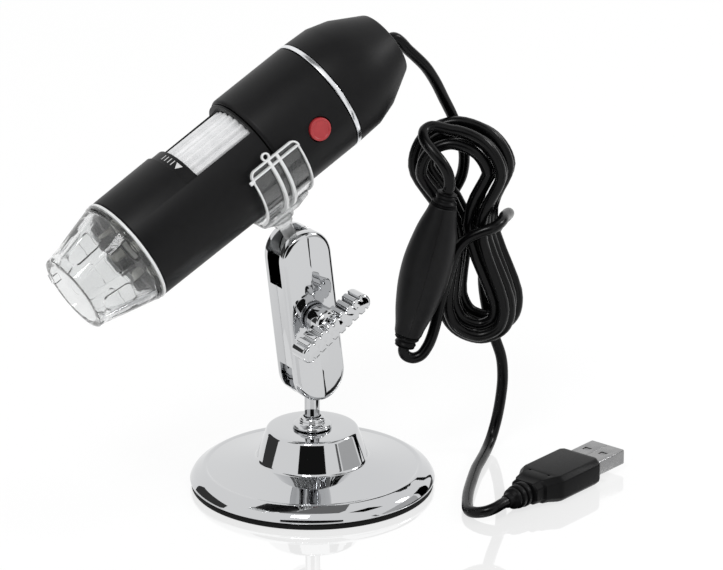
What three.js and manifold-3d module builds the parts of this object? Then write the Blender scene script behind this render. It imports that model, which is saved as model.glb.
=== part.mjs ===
// A pocket digital microscope clipped to a ball-joint stand, with its lead hanging in a hank.
// Millimetres, +Z up. The origin is the centre of the base's underside, and the barrel, its
// clip and the arm lie in the XZ plane with the lens towards -X.
import * as THREE from "three";
import { mergeVertices } from "three/addons/utils/BufferGeometryUtils.js";
import Module from "manifold-3d";

const wasm = await Module();
wasm.setup();

// General sizes: the gap that touching pieces keep, how far a cutter passes a face, and facets.
const clearance = 0.3;
const overrun = 1;
const mergeDistance = 1e-3;
const flatLimit = 1e-6;
const quarterTurn = 90;
const facets = { large: 40, medium: 28, small: 16, tiny: 10, cord: 8, loop: 6, coil: 5 };

// How the stand and the barrel are set.
const pose = { armLean: 7, barrelPitch: 28.5, barrelRoll: 6.4 };

const base = {
  radius: 35.6,
  rimEdge: 0.5,
  bevelRun: 4.2,
  bevelRise: 3.7,
  dishRise: 2.8,
  hubFootRadius: 15.4,
  hubTopRadius: 13.1,
  hubRise: 8.8,
  hubEdge: 0.6,
  wall: 1.2,
};
const foot = { height: 1.6, inset: 0.4, width: 6 };
const cover = { thickness: 1.6 };
const weight = { boreRadius: 6.5, edgeInset: 1.4 };
const post = { radius: 2.25, ballRadius: 4.7, ballHeight: 33.7, threadBelow: 4.4 };
const flangeNut = { flangeRadius: 5.6, flangeHeight: 1.1, collarRadius: 3.7, height: 3.2, chamfer: 0.6 };
const lockNut = { radius: 4.4, height: 2.8, corners: 6 };

const arm = {
  ballSpacing: 40.5,
  length: 52.4,
  width: 16.4,
  depth: 13,
  wall: 1.7,
  slotWidth: 6.4,
  slotReach: 12,
  upperSlot: { backAngle: 95, frontAngle: 24, notchFrom: -9.5, notchTo: 0 },
  lowerSlot: { backAngle: 48, frontAngle: 32, notchFrom: -1.5, notchTo: 6 },
};
const bolt = { radius: 2, headRadius: 4.2, headHeight: 1.7 };
const washer = { radius: 4.3, thickness: 0.8 };
const wing = {
  bossRadius: 4.4,
  bossHeight: 6.4,
  bossEdge: 1.1,
  span: 26.4,
  width: 5.4,
  thickness: 6.8,
  lift: 2.9,
  turnAngle: 27,
  ribs: 3,
  ribPitch: 3.3,
  ribDepth: 0.7,
};
const spring = { radius: 3.3, wire: 0.8, curls: 4, steps: 8 };

const clip = {
  fit: 0.3,
  wall: 1.1,
  width: 17.2,
  halfAngle: 107.6,
  ribWidth: 1,
  ribSpacing: 3,
  ribHeight: 0.7,
  frameWidth: 1.2,
  frameHeight: 0.45,
  endAngle: 5,
  endHeight: 0.8,
  padDepth: 15,
  padHeight: 2.6,
  padWidthShare: 0.62,
  padDepthShare: 0.7,
  bossRadius: 4.2,
  bossHeight: 2.2,
  socketDepth: 3.6,
  padCorner: 0.9,
  bumpRadius: 1.3,
  bumpLift: 0.5,
  endBumpAngle: 2.5,
  sideBumpAngle: -10.8,
};
const stem = { length: 34.9, collarRadius: 2.9, collarHeight: 2.4, neckRadius: 1.95, pinRadius: 1.7, tipGap: 0.6 };

const barrel = {
  clipAt: 43.7,
  tipRadius: 16.05,
  frontRadius: 16.5,
  rearRadius: 17.3,
  frontBore: 14.7,
  frontLength: 45,
  spigotLength: 6,
  spigotRadius: 15.2,
  spigotBore: 13.6,
  frontEdge: 0.4,
  rearLip: 0.8,
  rearLength: 25.5,
  ringWidth: 1.3,
  ringProud: 0.15,
  capRun: 15.9,
  chamferRadius: 15.1,
  endTaper: 9.8,
  endRadius: 9.85,
  endFlats: 8,
  capWall: 2,
  capSpigot: 3,
  cordHole: 3.2,
};
// Places along the barrel, back from the seam behind the nose.
const ringAt = barrel.frontLength + barrel.rearLength;
const chamferAt = ringAt + barrel.capRun;
const barrelEnd = chamferAt + barrel.endTaper;
const windowCut = { start: 24.4, inset: 0.6, halfAngle: 50.5, bandWidth: 4, bandDepth: 0.8 };
const windowEnd = barrel.frontLength - windowCut.inset;
const nose = {
  length: 20.5,
  frontRadius: 11.6,
  wall: 1.5,
  rimBore: 9.5,
  rimDepth: 2.2,
  flange: 0.8,
  spigot: 2.6,
  tabWidth: 3,
  tabHeight: 0.9,
  tabDepth: 2.4,
  tabAngle: -80,
};
const seamRing = { width: 0.8, proud: 0.15 };
const guide = { radius: 9.2, wall: 1.3, start: 4.6, tail: 7, flangeAt: 21.6, flangeWidth: 2, slotWidth: 2.4 };
const guideEnd = barrel.frontLength + guide.tail;
const bulkhead = { inset: 1, width: 2 };
const ledBoard = { gap: 0.3, thickness: 1.2 };
const led = { count: 8, ringRadius: 11, radius: 1.7, length: 2.4 };
const roller = { drop: 2.2, ribs: 32, ribDepth: 0.7, ribShare: 0.5, flankShare: 0.3 };
const lens = {
  start: 10,
  length: 24,
  wall: 1.4,
  frontAt: 2,
  rearAt: 18,
  rim: 1.2,
  crown: 1.6,
  bendShare: 0.55,
  bendRiseShare: 0.7,
  lip: 0.6,
};
const follower = { radius: 0.8, travel: 6, at: 16 };
const sensor = { inset: 10, boardThickness: 1.2, chip: 8, chipHeight: 1 };
const mainBoard = { height: 9, thickness: 1.2, length: 11 };
const button = {
  inset: 15.5,
  angle: 90,
  radius: 3.3,
  gap: 0.4,
  proud: 0.35,
  flange: 0.9,
  flangeHeight: 0.6,
  travel: 0.6,
};
const sensorAt = barrel.frontLength + sensor.inset;
const buttonAt = barrel.frontLength + button.inset;
const pushSwitch = { size: 6, height: 2, plungerRadius: 1.6, plungerHeight: 0.6 };
const gland = { flangeRadius: 4.6, flangeHeight: 1.5, collarRadius: 3.7, collarHeight: 0.6 };

const cord = { radius: 1.65, step: 5 };

// The hank hangs from its own lead behind the arm, its flat side turned towards the front left.
const hank = {
  x: 48.4,
  y: -7.9,
  facingAngle: -32.7,
  top: 104.6,
  bottom: 37.4,
  waist: 74,
  topHalfWidth: 14.6,
  waistHalfWidth: 7.2,
  bottomHalfWidth: 11.2,
  start: 0.05,
  end: 5.75,
  layers: 4,
  layerTurns: 1.5,
  step: 4.2,
  layerPitch: 3.9,
  layerShift: 1.2,
  lean: 0.13,
  leanPivot: 77,
  stepsPerLoop: 24,
  arcSteps: 4,
};

// The inline light control on the lead, from its top end to its bottom end in the hank's own frame.
const control = {
  topX: -7.2,
  topZ: 84.1,
  bottomX: -17.3,
  bottomZ: 45,
  forward: 15.6,
  radius: 7.2,
  endRadius: 4,
  wall: 1.3,
  reliefRadius: 3.8,
  reliefTip: 2.9,
  reliefLength: 3.6,
  reliefRings: 2,
  reliefGroove: 0.5,
  wheelRadius: 4.6,
  wheelWidth: 2.6,
  wheelProud: 1.1,
  wheelTeeth: 20,
  wheelGroove: 0.3,
  boardWidth: 7,
  boardLength: 18,
  boardThickness: 1,
};
const plug = {
  lift: 0.3,
  length: 27,
  width: 16,
  height: 8,
  corner: 1.6,
  shoulder: 5,
  neckWidth: 8.4,
  neckHeight: 6,
  reliefLength: 8,
  reliefRadius: 2.7,
  reliefTip: 2.1,
  reliefRings: 3,
  reliefGroove: 0.4,
  shellLength: 13,
  shellWidth: 12,
  shellHeight: 4.5,
  shellWall: 0.4,
  shellSeat: 5,
  tongueHeight: 1.8,
  tongueInset: 1.2,
  contacts: 4,
  contactWidth: 1,
  contactPitch: 2.2,
  contactHeight: 0.25,
  contactLength: 7,
};

// The lead's free stretches as points in the hank's own frame, chosen by hand: right, back, up.
const upperRoute = [
  [-23.45, -5.67, 130.19],
  [-22.4, -5, 130.68],
  [-21.1, -4.15, 130.5],
  [-19.4, -3.1, 128.9],
  [-17.6, -1.9, 126.5],
  [-15.6, -0.6, 124.2],
  [-12.4, 1.7, 120.2],
  [-9.5, 4.4, 114.9],
  [-7, 7, 109],
  [-4.6, 9.2, 103.4],
  [-2.4, 9.95, 97.5],
  [-0.9, 9.95, 91],
  [-1.6, 9.95, 84.5],
  [-4.2, 9.9, 79],
  [-5.9, 9.6, 74.2],
  [-6.3, 8.2, 69.6],
  [-5.9, 6.6, 66],
  [-5.5, 5.9, 63.4],
  [-5.42, 5.85, 61.56],
];
const inletRoute = [
  [-8.75, -5.85, 104.44],
  [-10.9, -6.3, 104.7],
  [-12.8, -8.3, 104],
  [-12.7, -11.2, 102.3],
  [-10.5, -13.7, 99.8],
  [-7.8, -15.2, 96.8],
  [-6, -15.6, 93.4],
  [-5.65, -15.6, 90.2],
  [-6.15, -15.6, 88.17],
];
const lowerRoute = [
  [-18.35, -15.6, 40.93],
  [-18.6, -15.6, 39.9],
  [-18, -15.5, 38.3],
  [-15.9, -15.2, 37.3],
  [-13.6, -14.8, 38],
  [-11.8, -14.2, 40.2],
  [-10.2, -13, 43.6],
  [-7.7, -10.7, 53.4],
  [-4.9, -9.9, 63.6],
  [-3.2, -9.95, 68.4],
  [-0.4, -10, 71.9],
  [3.6, -10, 74],
  [7.4, -9.3, 75.2],
  [9.6, -6.2, 75.9],
  [10.7, -1, 75.8],
  [11.9, 4.4, 74.8],
  [11.9, 8.4, 73],
  [9.2, 10.5, 69],
  [6.6, 10.4, 63],
  [5, 10.1, 54],
  [5.9, 10.1, 44.6],
  [8.3, 10, 35],
  [10.5, 10, 28],
  [11, 10, 21.6],
  [10.5, 9.9, 15.3],
  [9.4, 9.2, 9],
  [7.9, 6.9, 4.1],
  [6.3, 2.2, 1.9],
  [4.7, -4.6, 1.7],
  [2.9, -12.2, 1.7],
  [1.3, -22, 1.7],
  [0.1, -31, 1.7],
  [-0.3, -37, 1.7],
  [-0.3, -42.5, 1.7],
  [0.37, -45, 1.8],
  [2.2, -46.83, 2.2],
  [4.7, -47.5, 2.8],
  [7.2, -46.83, 3.5],
  [8.9, -45.3, 3.9],
  [10.4, -43.5, 4],
];

const radians = THREE.MathUtils.degToRad;

// A closed triangle mesh with merged corners and faces that point out.
function closed(geometry) {
  const bare = geometry.index ? geometry.clone() : geometry;
  for (const name of Object.keys(bare.attributes)) {
    if (name !== "position") bare.deleteAttribute(name);
  }
  const merged = mergeVertices(bare, mergeDistance);
  const corners = merged.index.array;
  const points = merged.getAttribute("position");
  const kept = [];
  let volume = 0;
  const [a, b, c] = [new THREE.Vector3(), new THREE.Vector3(), new THREE.Vector3()];
  for (let i = 0; i < corners.length; i += 3) {
    const [p, q, r] = [corners[i], corners[i + 1], corners[i + 2]];
    if (p === q || q === r || r === p) continue;
    kept.push(p, q, r);
    a.fromBufferAttribute(points, p);
    b.fromBufferAttribute(points, q);
    c.fromBufferAttribute(points, r);
    volume += a.dot(b.cross(c));
  }
  merged.setIndex(volume < 0 ? kept.reverse() : kept);
  return merged;
}

// A closed mesh as a solid that can be joined and cut.
function solid(geometry) {
  const mesh = closed(geometry);
  return new wasm.Manifold(
    new wasm.Mesh({
      numProp: 3,
      vertProperties: new Float32Array(mesh.getAttribute("position").array),
      triVerts: new Uint32Array(mesh.index.array),
    }),
  );
}

// A joined or cut solid as a geometry again.
function geometryOf(manifold) {
  const mesh = manifold.getMesh();
  const geometry = new THREE.BufferGeometry();
  geometry.setAttribute("position", new THREE.BufferAttribute(new Float32Array(mesh.vertProperties), 3));
  geometry.setIndex(new THREE.BufferAttribute(new Uint32Array(mesh.triVerts), 1));
  return geometry;
}

function cut(geometry, ...tools) {
  return geometryOf(tools.reduce((left, tool) => left.subtract(solid(tool)), solid(geometry)));
}

function join(geometry, ...others) {
  return geometryOf(others.reduce((whole, other) => whole.add(solid(other)), solid(geometry)));
}

function common(geometry, other) {
  return geometryOf(solid(geometry).intersect(solid(other)));
}

// Turns a geometry made along Z so that it runs along X, -Y or Z.
const turns = {
  x: new THREE.Matrix4().makeBasis(
    new THREE.Vector3(0, 1, 0),
    new THREE.Vector3(0, 0, 1),
    new THREE.Vector3(1, 0, 0),
  ),
  front: new THREE.Matrix4().makeBasis(
    new THREE.Vector3(1, 0, 0),
    new THREE.Vector3(0, 0, 1),
    new THREE.Vector3(0, -1, 0),
  ),
  z: new THREE.Matrix4(),
};

// A turned piece: its profile is [radius, height] pairs, and closes on itself or on the axis.
function turned(profile, segments, axis = "z") {
  const points = profile.map(([radius, height]) => new THREE.Vector2(radius, height));
  const onAxis = points[0].x === 0 && points[points.length - 1].x === 0;
  if (!onAxis) points.push(points[0].clone());
  const geometry = new THREE.LatheGeometry(points, segments);
  geometry.rotateX(Math.PI / 2);
  return closed(geometry.applyMatrix4(turns[axis]));
}

// A rod or a tube of one radius from one height to another.
function rod(radius, from, to, segments, axis = "z") {
  return turned([[0, from], [radius, from], [radius, to], [0, to]], segments, axis);
}

function tube(bore, radius, from, to, segments, axis = "z") {
  return turned([[bore, from], [radius, from], [radius, to], [bore, to]], segments, axis);
}

// A flat outline of [x, y] points pushed from one height to another.
function pushed(outline, from, to, axis = "z") {
  const shape = new THREE.Shape(outline.map(([x, y]) => new THREE.Vector2(x, y)));
  const geometry = new THREE.ExtrudeGeometry(shape, { depth: to - from, bevelEnabled: false });
  geometry.translate(0, 0, from);
  return closed(geometry.applyMatrix4(turns[axis]));
}

function block(width, depth, height, x = 0, y = 0, z = 0) {
  return closed(new THREE.BoxGeometry(width, depth, height).translate(x, y, z));
}

function ball(radius, segments) {
  return closed(new THREE.SphereGeometry(radius, segments, segments / 2));
}

// Points of an arc, angles in degrees from the outline's first axis.
function arc(radius, from, to, steps, x = 0, y = 0) {
  return Array.from({ length: steps + 1 }, (_, i) => {
    const angle = radians(from + ((to - from) * i) / steps);
    return [x + radius * Math.cos(angle), y + radius * Math.sin(angle)];
  });
}

// A piece of a ring between two radii and two angles.
function sector(bore, radius, from, to, steps) {
  return [...arc(radius, from, to, steps), ...arc(bore, to, from, steps)];
}

// An outline with two straight sides and round ends, standing along its second axis.
function stadium(halfWidth, halfLength, steps) {
  const straight = halfLength - halfWidth;
  return [...arc(halfWidth, 0, 180, steps, 0, straight), ...arc(halfWidth, 180, 360, steps, 0, -straight)];
}

// A rectangle with round corners.
function roundedBox(width, height, corner, steps) {
  const x = width / 2 - corner;
  const y = height / 2 - corner;
  return [
    ...arc(corner, 0, 90, steps, x, y),
    ...arc(corner, 90, 180, steps, -x, y),
    ...arc(corner, 180, 270, steps, -x, -y),
    ...arc(corner, 270, 360, steps, x, -y),
  ];
}

// A solid through outlines of equal point counts, each at its own height, with flat ends.
function lofted(levels, axis = "z") {
  const count = levels[0].outline.length;
  const positions = levels.flatMap(({ outline, height }) => outline.flatMap(([x, y]) => [x, y, height]));
  const index = [];
  for (let level = 0; level + 1 < levels.length; level++) {
    for (let i = 0; i < count; i++) {
      const a = level * count + i;
      const b = level * count + ((i + 1) % count);
      index.push(a, b, b + count, a, b + count, a + count);
    }
  }
  const top = (levels.length - 1) * count;
  for (let i = 1; i + 1 < count; i++) {
    index.push(0, i + 1, i, top, top + i, top + i + 1);
  }
  const geometry = new THREE.BufferGeometry();
  geometry.setAttribute("position", new THREE.Float32BufferAttribute(positions, 3));
  geometry.setIndex(index);
  return closed(geometry.applyMatrix4(turns[axis]));
}

// A tube through given points, with flat ends. Its section turns as little as it can.
function swept(points, radius, sides) {
  const tangents = points.map((_, i) => {
    const before = points[Math.max(i - 1, 0)];
    const after = points[Math.min(i + 1, points.length - 1)];
    return after.clone().sub(before).normalize();
  });
  const side = new THREE.Vector3(0, 1, 0).cross(tangents[0]);
  if (side.lengthSq() < flatLimit) side.set(1, 0, 0);
  side.normalize();
  const positions = [];
  points.forEach((point, i) => {
    side.addScaledVector(tangents[i], -side.dot(tangents[i])).normalize();
    const up = tangents[i].clone().cross(side);
    for (let k = 0; k < sides; k++) {
      const angle = (2 * Math.PI * k) / sides;
      const corner = point.clone();
      corner.addScaledVector(side, radius * Math.cos(angle));
      corner.addScaledVector(up, radius * Math.sin(angle));
      positions.push(corner.x, corner.y, corner.z);
    }
  });
  const index = [];
  for (let i = 0; i + 1 < points.length; i++) {
    for (let k = 0; k < sides; k++) {
      const a = i * sides + k;
      const b = i * sides + ((k + 1) % sides);
      index.push(a, b, b + sides, a, b + sides, a + sides);
    }
  }
  const last = (points.length - 1) * sides;
  for (let k = 1; k + 1 < sides; k++) {
    index.push(0, k + 1, k, last, last + k, last + k + 1);
  }
  const geometry = new THREE.BufferGeometry();
  geometry.setAttribute("position", new THREE.Float32BufferAttribute(positions, 3));
  geometry.setIndex(index);
  return closed(geometry);
}

// A free stretch of lead through hand-chosen points.
function stretch(route) {
  const path = new THREE.CatmullRomCurve3(route.map((point) => new THREE.Vector3(...point)));
  const section = new THREE.Shape(
    arc(cord.radius, 0, 360, facets.cord)
      .slice(0, facets.cord)
      .map(([x, y]) => new THREE.Vector2(x, y)),
  );
  const steps = Math.ceil(path.getLength() / cord.step);
  return closed(new THREE.ExtrudeGeometry(section, { steps, extrudePath: path, bevelEnabled: false }));
}

// Finishes, by what each piece is made of.
const finishes = {
  chrome: { color: 0xd8dadd, metalness: 1, roughness: 0.08 },
  steel: { color: 0x9a9da1, metalness: 1, roughness: 0.35 },
  blackRubber: { color: 0x131313, metalness: 0, roughness: 0.6 },
  softBlack: { color: 0x171718, metalness: 0, roughness: 0.55 },
  clear: { color: 0xe9edef, metalness: 0, roughness: 0.08, transparent: true, opacity: 0.35 },
  silver: { color: 0xc9ccd0, metalness: 0.9, roughness: 0.25 },
  rollerGrey: { color: 0xd4d6d8, metalness: 0.2, roughness: 0.4 },
  red: { color: 0xb5141c, metalness: 0, roughness: 0.4 },
  board: { color: 0x14532d, metalness: 0, roughness: 0.5 },
  boardWhite: { color: 0xd9d9d2, metalness: 0, roughness: 0.5 },
  innerBlack: { color: 0x202022, metalness: 0, roughness: 0.6 },
  glass: { color: 0xdfe8ee, metalness: 0, roughness: 0.02, transparent: true, opacity: 0.35 },
  chip: { color: 0x1d2430, metalness: 0.2, roughness: 0.2 },
  gold: { color: 0xc9a24a, metalness: 1, roughness: 0.3 },
  whitePlastic: { color: 0xe8e6df, metalness: 0, roughness: 0.45 },
};

function piece(name, geometry, finish) {
  const mesh = new THREE.Mesh(geometry, new THREE.MeshStandardMaterial(finishes[finish]));
  mesh.name = name;
  return mesh;
}

// Heights of the base, from the floor up.
const dishBottom = foot.height + clearance;
const bevelFoot = dishBottom + base.rimEdge;
const bevelTop = bevelFoot + base.bevelRise;
const bevelTopRadius = base.radius - base.bevelRun;
const hubFoot = bevelTop + base.dishRise;
const hubTop = hubFoot + base.hubRise;
const dishSagShare = 0.42;
const dishMiddleRadius = (bevelTopRadius + base.hubFootRadius) / 2;
const dishMiddle = bevelTop + base.dishRise * dishSagShare;

function baseDish() {
  const bore = post.radius + clearance;
  const { wall } = base;
  return turned(
    [
      [base.radius, dishBottom],
      [base.radius, bevelFoot],
      [bevelTopRadius, bevelTop],
      [dishMiddleRadius, dishMiddle],
      [base.hubFootRadius, hubFoot],
      [base.hubTopRadius + base.hubEdge, hubTop - base.hubEdge],
      [base.hubTopRadius, hubTop],
      [bore, hubTop],
      [bore, hubTop - wall],
      [base.hubTopRadius - wall, hubTop - wall],
      [base.hubFootRadius - wall, hubFoot - wall],
      [dishMiddleRadius, dishMiddle - wall],
      [bevelTopRadius - wall / 2, bevelTop - wall],
      [base.radius - 2 * wall, dishBottom],
    ],
    facets.large,
  );
}

function footRing() {
  const radius = base.radius - foot.inset;
  return tube(radius - foot.width, radius, 0, foot.height, facets.large);
}

function bottomCover() {
  const radius = base.radius - foot.inset - foot.width - clearance;
  return rod(radius, 0, cover.thickness, facets.medium);
}

function baseWeight() {
  const bottom = cover.thickness + clearance;
  const drop = base.wall + clearance;
  return turned(
    [
      [weight.boreRadius, bottom],
      [bevelTopRadius - weight.edgeInset, bottom],
      [bevelTopRadius - weight.edgeInset, bevelTop - drop],
      [dishMiddleRadius, dishMiddle - drop],
      [base.hubFootRadius - drop, hubFoot - drop],
      [weight.boreRadius, hubFoot - drop],
    ],
    facets.medium,
  );
}

function flangeNutGeometry() {
  const start = hubTop + clearance;
  return turned(
    [
      [post.radius + clearance, start],
      [flangeNut.flangeRadius, start],
      [flangeNut.flangeRadius, start + flangeNut.flangeHeight / 2],
      [flangeNut.flangeRadius - flangeNut.chamfer, start + flangeNut.flangeHeight],
      [flangeNut.collarRadius, start + flangeNut.flangeHeight],
      [flangeNut.collarRadius, start + flangeNut.height - flangeNut.chamfer],
      [flangeNut.collarRadius - flangeNut.chamfer, start + flangeNut.height],
      [post.radius + clearance, start + flangeNut.height],
    ],
    facets.small,
  );
}

function lockNutGeometry() {
  const top = hubTop - base.wall - clearance;
  const hex = rod(lockNut.radius, top - lockNut.height, top, lockNut.corners);
  return cut(hex, rod(post.radius + clearance, top - lockNut.height - overrun, top + overrun, facets.small));
}

function postGeometry() {
  const start = Math.asin(post.radius / post.ballRadius);
  const steps = facets.tiny;
  const ballProfile = Array.from({ length: steps + 1 }, (_, i) => {
    const angle = Math.PI - start - ((Math.PI - start) * i) / steps;
    const radius = i === steps ? 0 : post.ballRadius * Math.sin(angle);
    return [radius, post.ballHeight + post.ballRadius * Math.cos(angle)];
  });
  const bottom = hubTop - base.wall - lockNut.height - post.threadBelow;
  return turned([[0, bottom], [post.radius, bottom], ...ballProfile], facets.small);
}

function makeStand() {
  const stand = new THREE.Group();
  stand.add(
    piece("base_dish", baseDish(), "chrome"),
    piece("foot_ring", footRing(), "blackRubber"),
    piece("bottom_cover", bottomCover(), "innerBlack"),
    piece("base_weight", baseWeight(), "steel"),
    piece("flange_nut", flangeNutGeometry(), "chrome"),
    piece("lock_nut", lockNutGeometry(), "steel"),
    piece("post", postGeometry(), "chrome"),
  );
  return stand;
}

// The arm's plates. Shares say how the outline draws in towards the crowned face.
const crownShares = [
  [0, 0],
  [0.5, 0],
  [0.76, 0.08],
  [0.92, 0.24],
  [1, 0.46],
];
const plateDepth = (arm.depth - clearance) / 2;
const plateFace = arm.depth / 2;

// The slot that a ball's neck swings in: a fan in the arm's middle plane, with a notch beside the ball.
function neckSlot(end, slot) {
  const middle = end * (arm.ballSpacing / 2);
  const straight = end * quarterTurn;
  const from = straight - end * slot.frontAngle;
  const to = straight + end * slot.backAngle;
  const fan = [[0, middle], ...arc(arm.slotReach, from, to, facets.tiny, 0, middle)];
  const notchMiddle = middle + (slot.notchFrom + slot.notchTo) / 2;
  const notchHeight = slot.notchTo - slot.notchFrom;
  const notch = block(arm.slotReach, arm.slotWidth, notchHeight, -arm.slotReach / 2, 0, notchMiddle);
  return join(pushed(fan, -arm.slotWidth / 2, arm.slotWidth / 2, "front"), notch);
}

function plate(side) {
  const halfWidth = arm.width / 2;
  const start = clearance / 2;
  const levels = crownShares.map(([depthShare, insetShare]) => ({
    outline: stadium(halfWidth * (1 - insetShare), arm.length / 2 - halfWidth * insetShare, facets.tiny),
    height: side * (start + plateDepth * depthShare),
  }));
  const hollowHalf = halfWidth - arm.wall;
  const hollowReach = arm.ballSpacing / 2 - post.ballRadius - arm.wall;
  const hollow = pushed(
    stadium(hollowHalf, hollowReach, facets.tiny),
    -(plateFace - arm.wall),
    plateFace - arm.wall,
    "front",
  );
  const socket = post.ballRadius + clearance;
  return cut(
    lofted(levels, "front"),
    hollow,
    ball(socket, facets.small).translate(0, 0, arm.ballSpacing / 2),
    ball(socket, facets.small).translate(0, 0, -arm.ballSpacing / 2),
    neckSlot(1, arm.upperSlot),
    neckSlot(-1, arm.lowerSlot),
    rod(bolt.radius + clearance, -arm.depth, arm.depth, facets.tiny, "front"),
  );
}

const boltTip = plateFace + washer.thickness + 3 * clearance + wing.bossHeight - wing.bossEdge / 2;

function boltGeometry() {
  const head = -(plateFace + clearance);
  return turned(
    [
      [0, head - bolt.headHeight],
      [bolt.headRadius / 2, head - bolt.headHeight],
      [bolt.headRadius, head - bolt.headHeight / 3],
      [bolt.headRadius, head],
      [bolt.radius, head],
      [bolt.radius, boltTip],
      [0, boltTip],
    ],
    facets.small,
    "front",
  );
}

function springGeometry() {
  const half = plateFace - arm.wall - clearance - spring.wire / 2;
  const count = spring.curls * spring.steps;
  const points = Array.from({ length: count + 1 }, (_, i) => {
    const angle = (2 * Math.PI * i) / spring.steps;
    const along = -half + (2 * half * i) / count;
    return new THREE.Vector3(spring.radius * Math.cos(angle), along, spring.radius * Math.sin(angle));
  });
  return swept(points, spring.wire / 2, facets.coil);
}

function washerGeometry() {
  const start = plateFace + clearance;
  return tube(bolt.radius + clearance, washer.radius, start, start + washer.thickness, facets.small, "front");
}

// The wing's flat outline, with grip notches along both sides of each end.
function wingOutline() {
  const halfWidth = wing.width / 2;
  const straight = wing.span / 2 - halfWidth;
  const notchHalf = wing.ribPitch / 4;
  const ends = Array.from({ length: wing.ribs }, (_, i) => straight - wing.ribPitch * (i + 1 / 2));
  const middles = [...ends.map((at) => -at), ...ends.reverse()];
  const side = middles.flatMap((at) => [
    [halfWidth, at - notchHalf],
    [halfWidth - wing.ribDepth, at],
    [halfWidth, at + notchHalf],
  ]);
  return [
    ...side,
    ...arc(halfWidth, 0, 180, facets.tiny, 0, straight),
    ...side.map(([x, y]) => [-x, -y]),
    ...arc(halfWidth, 180, 360, facets.tiny, 0, -straight),
  ];
}

function wingNutGeometry() {
  const start = plateFace + washer.thickness + 2 * clearance;
  const end = start + wing.bossHeight;
  const boss = turned(
    [
      [0, start],
      [wing.bossRadius, start],
      [wing.bossRadius, end - wing.bossEdge],
      [wing.bossRadius - wing.bossEdge, end],
      [0, end],
    ],
    facets.small,
    "front",
  );
  const wings = pushed(wingOutline(), start + wing.lift, start + wing.lift + wing.thickness, "front");
  wings.rotateY(radians(quarterTurn - wing.turnAngle));
  const bore = rod(bolt.radius + clearance, start - overrun, boltTip + clearance, facets.tiny, "front");
  return cut(join(boss, wings), bore);
}

const armDirection = new THREE.Vector3(-Math.sin(radians(pose.armLean)), 0, Math.cos(radians(pose.armLean)));
const lowerBall = new THREE.Vector3(0, 0, post.ballHeight);
const upperBall = lowerBall.clone().addScaledVector(armDirection, arm.ballSpacing);

function makeArm() {
  const group = new THREE.Group();
  group.position.copy(lowerBall).add(upperBall).multiplyScalar(1 / 2);
  group.rotation.y = -radians(pose.armLean);
  group.add(
    piece("clamp_front_plate", plate(1), "chrome"),
    piece("clamp_back_plate", plate(-1), "chrome"),
    piece("clamp_bolt", boltGeometry(), "chrome"),
    piece("clamp_spring", springGeometry(), "steel"),
    piece("bolt_washer", washerGeometry(), "steel"),
    piece("wing_nut", wingNutGeometry(), "chrome"),
  );
  return group;
}

// The clip, in the barrel's own frame moved to the clip's middle: X along the barrel, -Z to the stem.
const clipBore = barrel.rearRadius + clip.fit;
const clipRadius = clipBore + clip.wall;
const padBottom = clipRadius + clip.padHeight;
const bossBottom = padBottom + clip.bossHeight;

// A band of the C, by its two radii, its place along the barrel and the angles it spans.
function clipBand(bore, radius, from, to, start = -clip.halfAngle, end = clip.halfAngle) {
  const outline = sector(bore, radius, start - quarterTurn, end - quarterTurn, facets.medium);
  return pushed(outline, from, to, "x");
}

function clipGeometry() {
  const half = clip.width / 2;
  const inner = clipBore + clip.wall / 2;
  const ribAt = clip.ribSpacing / 2;
  const rib = (x) => clipBand(inner, clipRadius + clip.ribHeight, x - clip.ribWidth / 2, x + clip.ribWidth / 2);
  const frame = (from, to) => clipBand(inner, clipRadius + clip.frameHeight, from, to);
  const armEnd = (start, end) => clipBand(inner, clipRadius + clip.endHeight, -half, half, start, end);
  const padTip = roundedBox(clip.width * clip.padWidthShare, clip.padDepth * clip.padDepthShare, clip.padCorner, 2);
  const pad = lofted([
    { outline: roundedBox(clip.width, clip.padDepth, clip.padCorner, 2), height: -clipBore - clip.wall / 2 },
    { outline: roundedBox(clip.width, clip.padDepth, clip.padCorner, 2), height: -clipRadius },
    { outline: padTip, height: -padBottom },
  ]);
  const boss = rod(clip.bossRadius, -bossBottom, -clipBore - clip.wall / 2, facets.small);
  const bump = (x, beyond) => rod(clip.bumpRadius, -clip.wall / 2, clip.bumpLift, facets.tiny)
    .translate(0, 0, clipRadius)
    .rotateX(radians(2 * quarterTurn - clip.halfAngle - beyond))
    .translate(x, 0, 0);
  const body = join(
    clipBand(clipBore, clipRadius, -half, half),
    rib(-ribAt),
    rib(ribAt),
    frame(-half, -half + clip.frameWidth),
    frame(half - clip.frameWidth, half),
    armEnd(-clip.halfAngle, -clip.halfAngle + clip.endAngle),
    armEnd(clip.halfAngle - clip.endAngle, clip.halfAngle),
    pad,
    boss,
    bump(-ribAt, clip.endBumpAngle),
    bump(-half, clip.sideBumpAngle),
  );
  const socket = rod(stem.pinRadius + clearance, -bossBottom - overrun, -bossBottom + clip.socketDepth, facets.small);
  const bore = rod(clipBore, -clip.width, clip.width, facets.large, "x");
  return cut(body, socket, bore);
}

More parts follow.
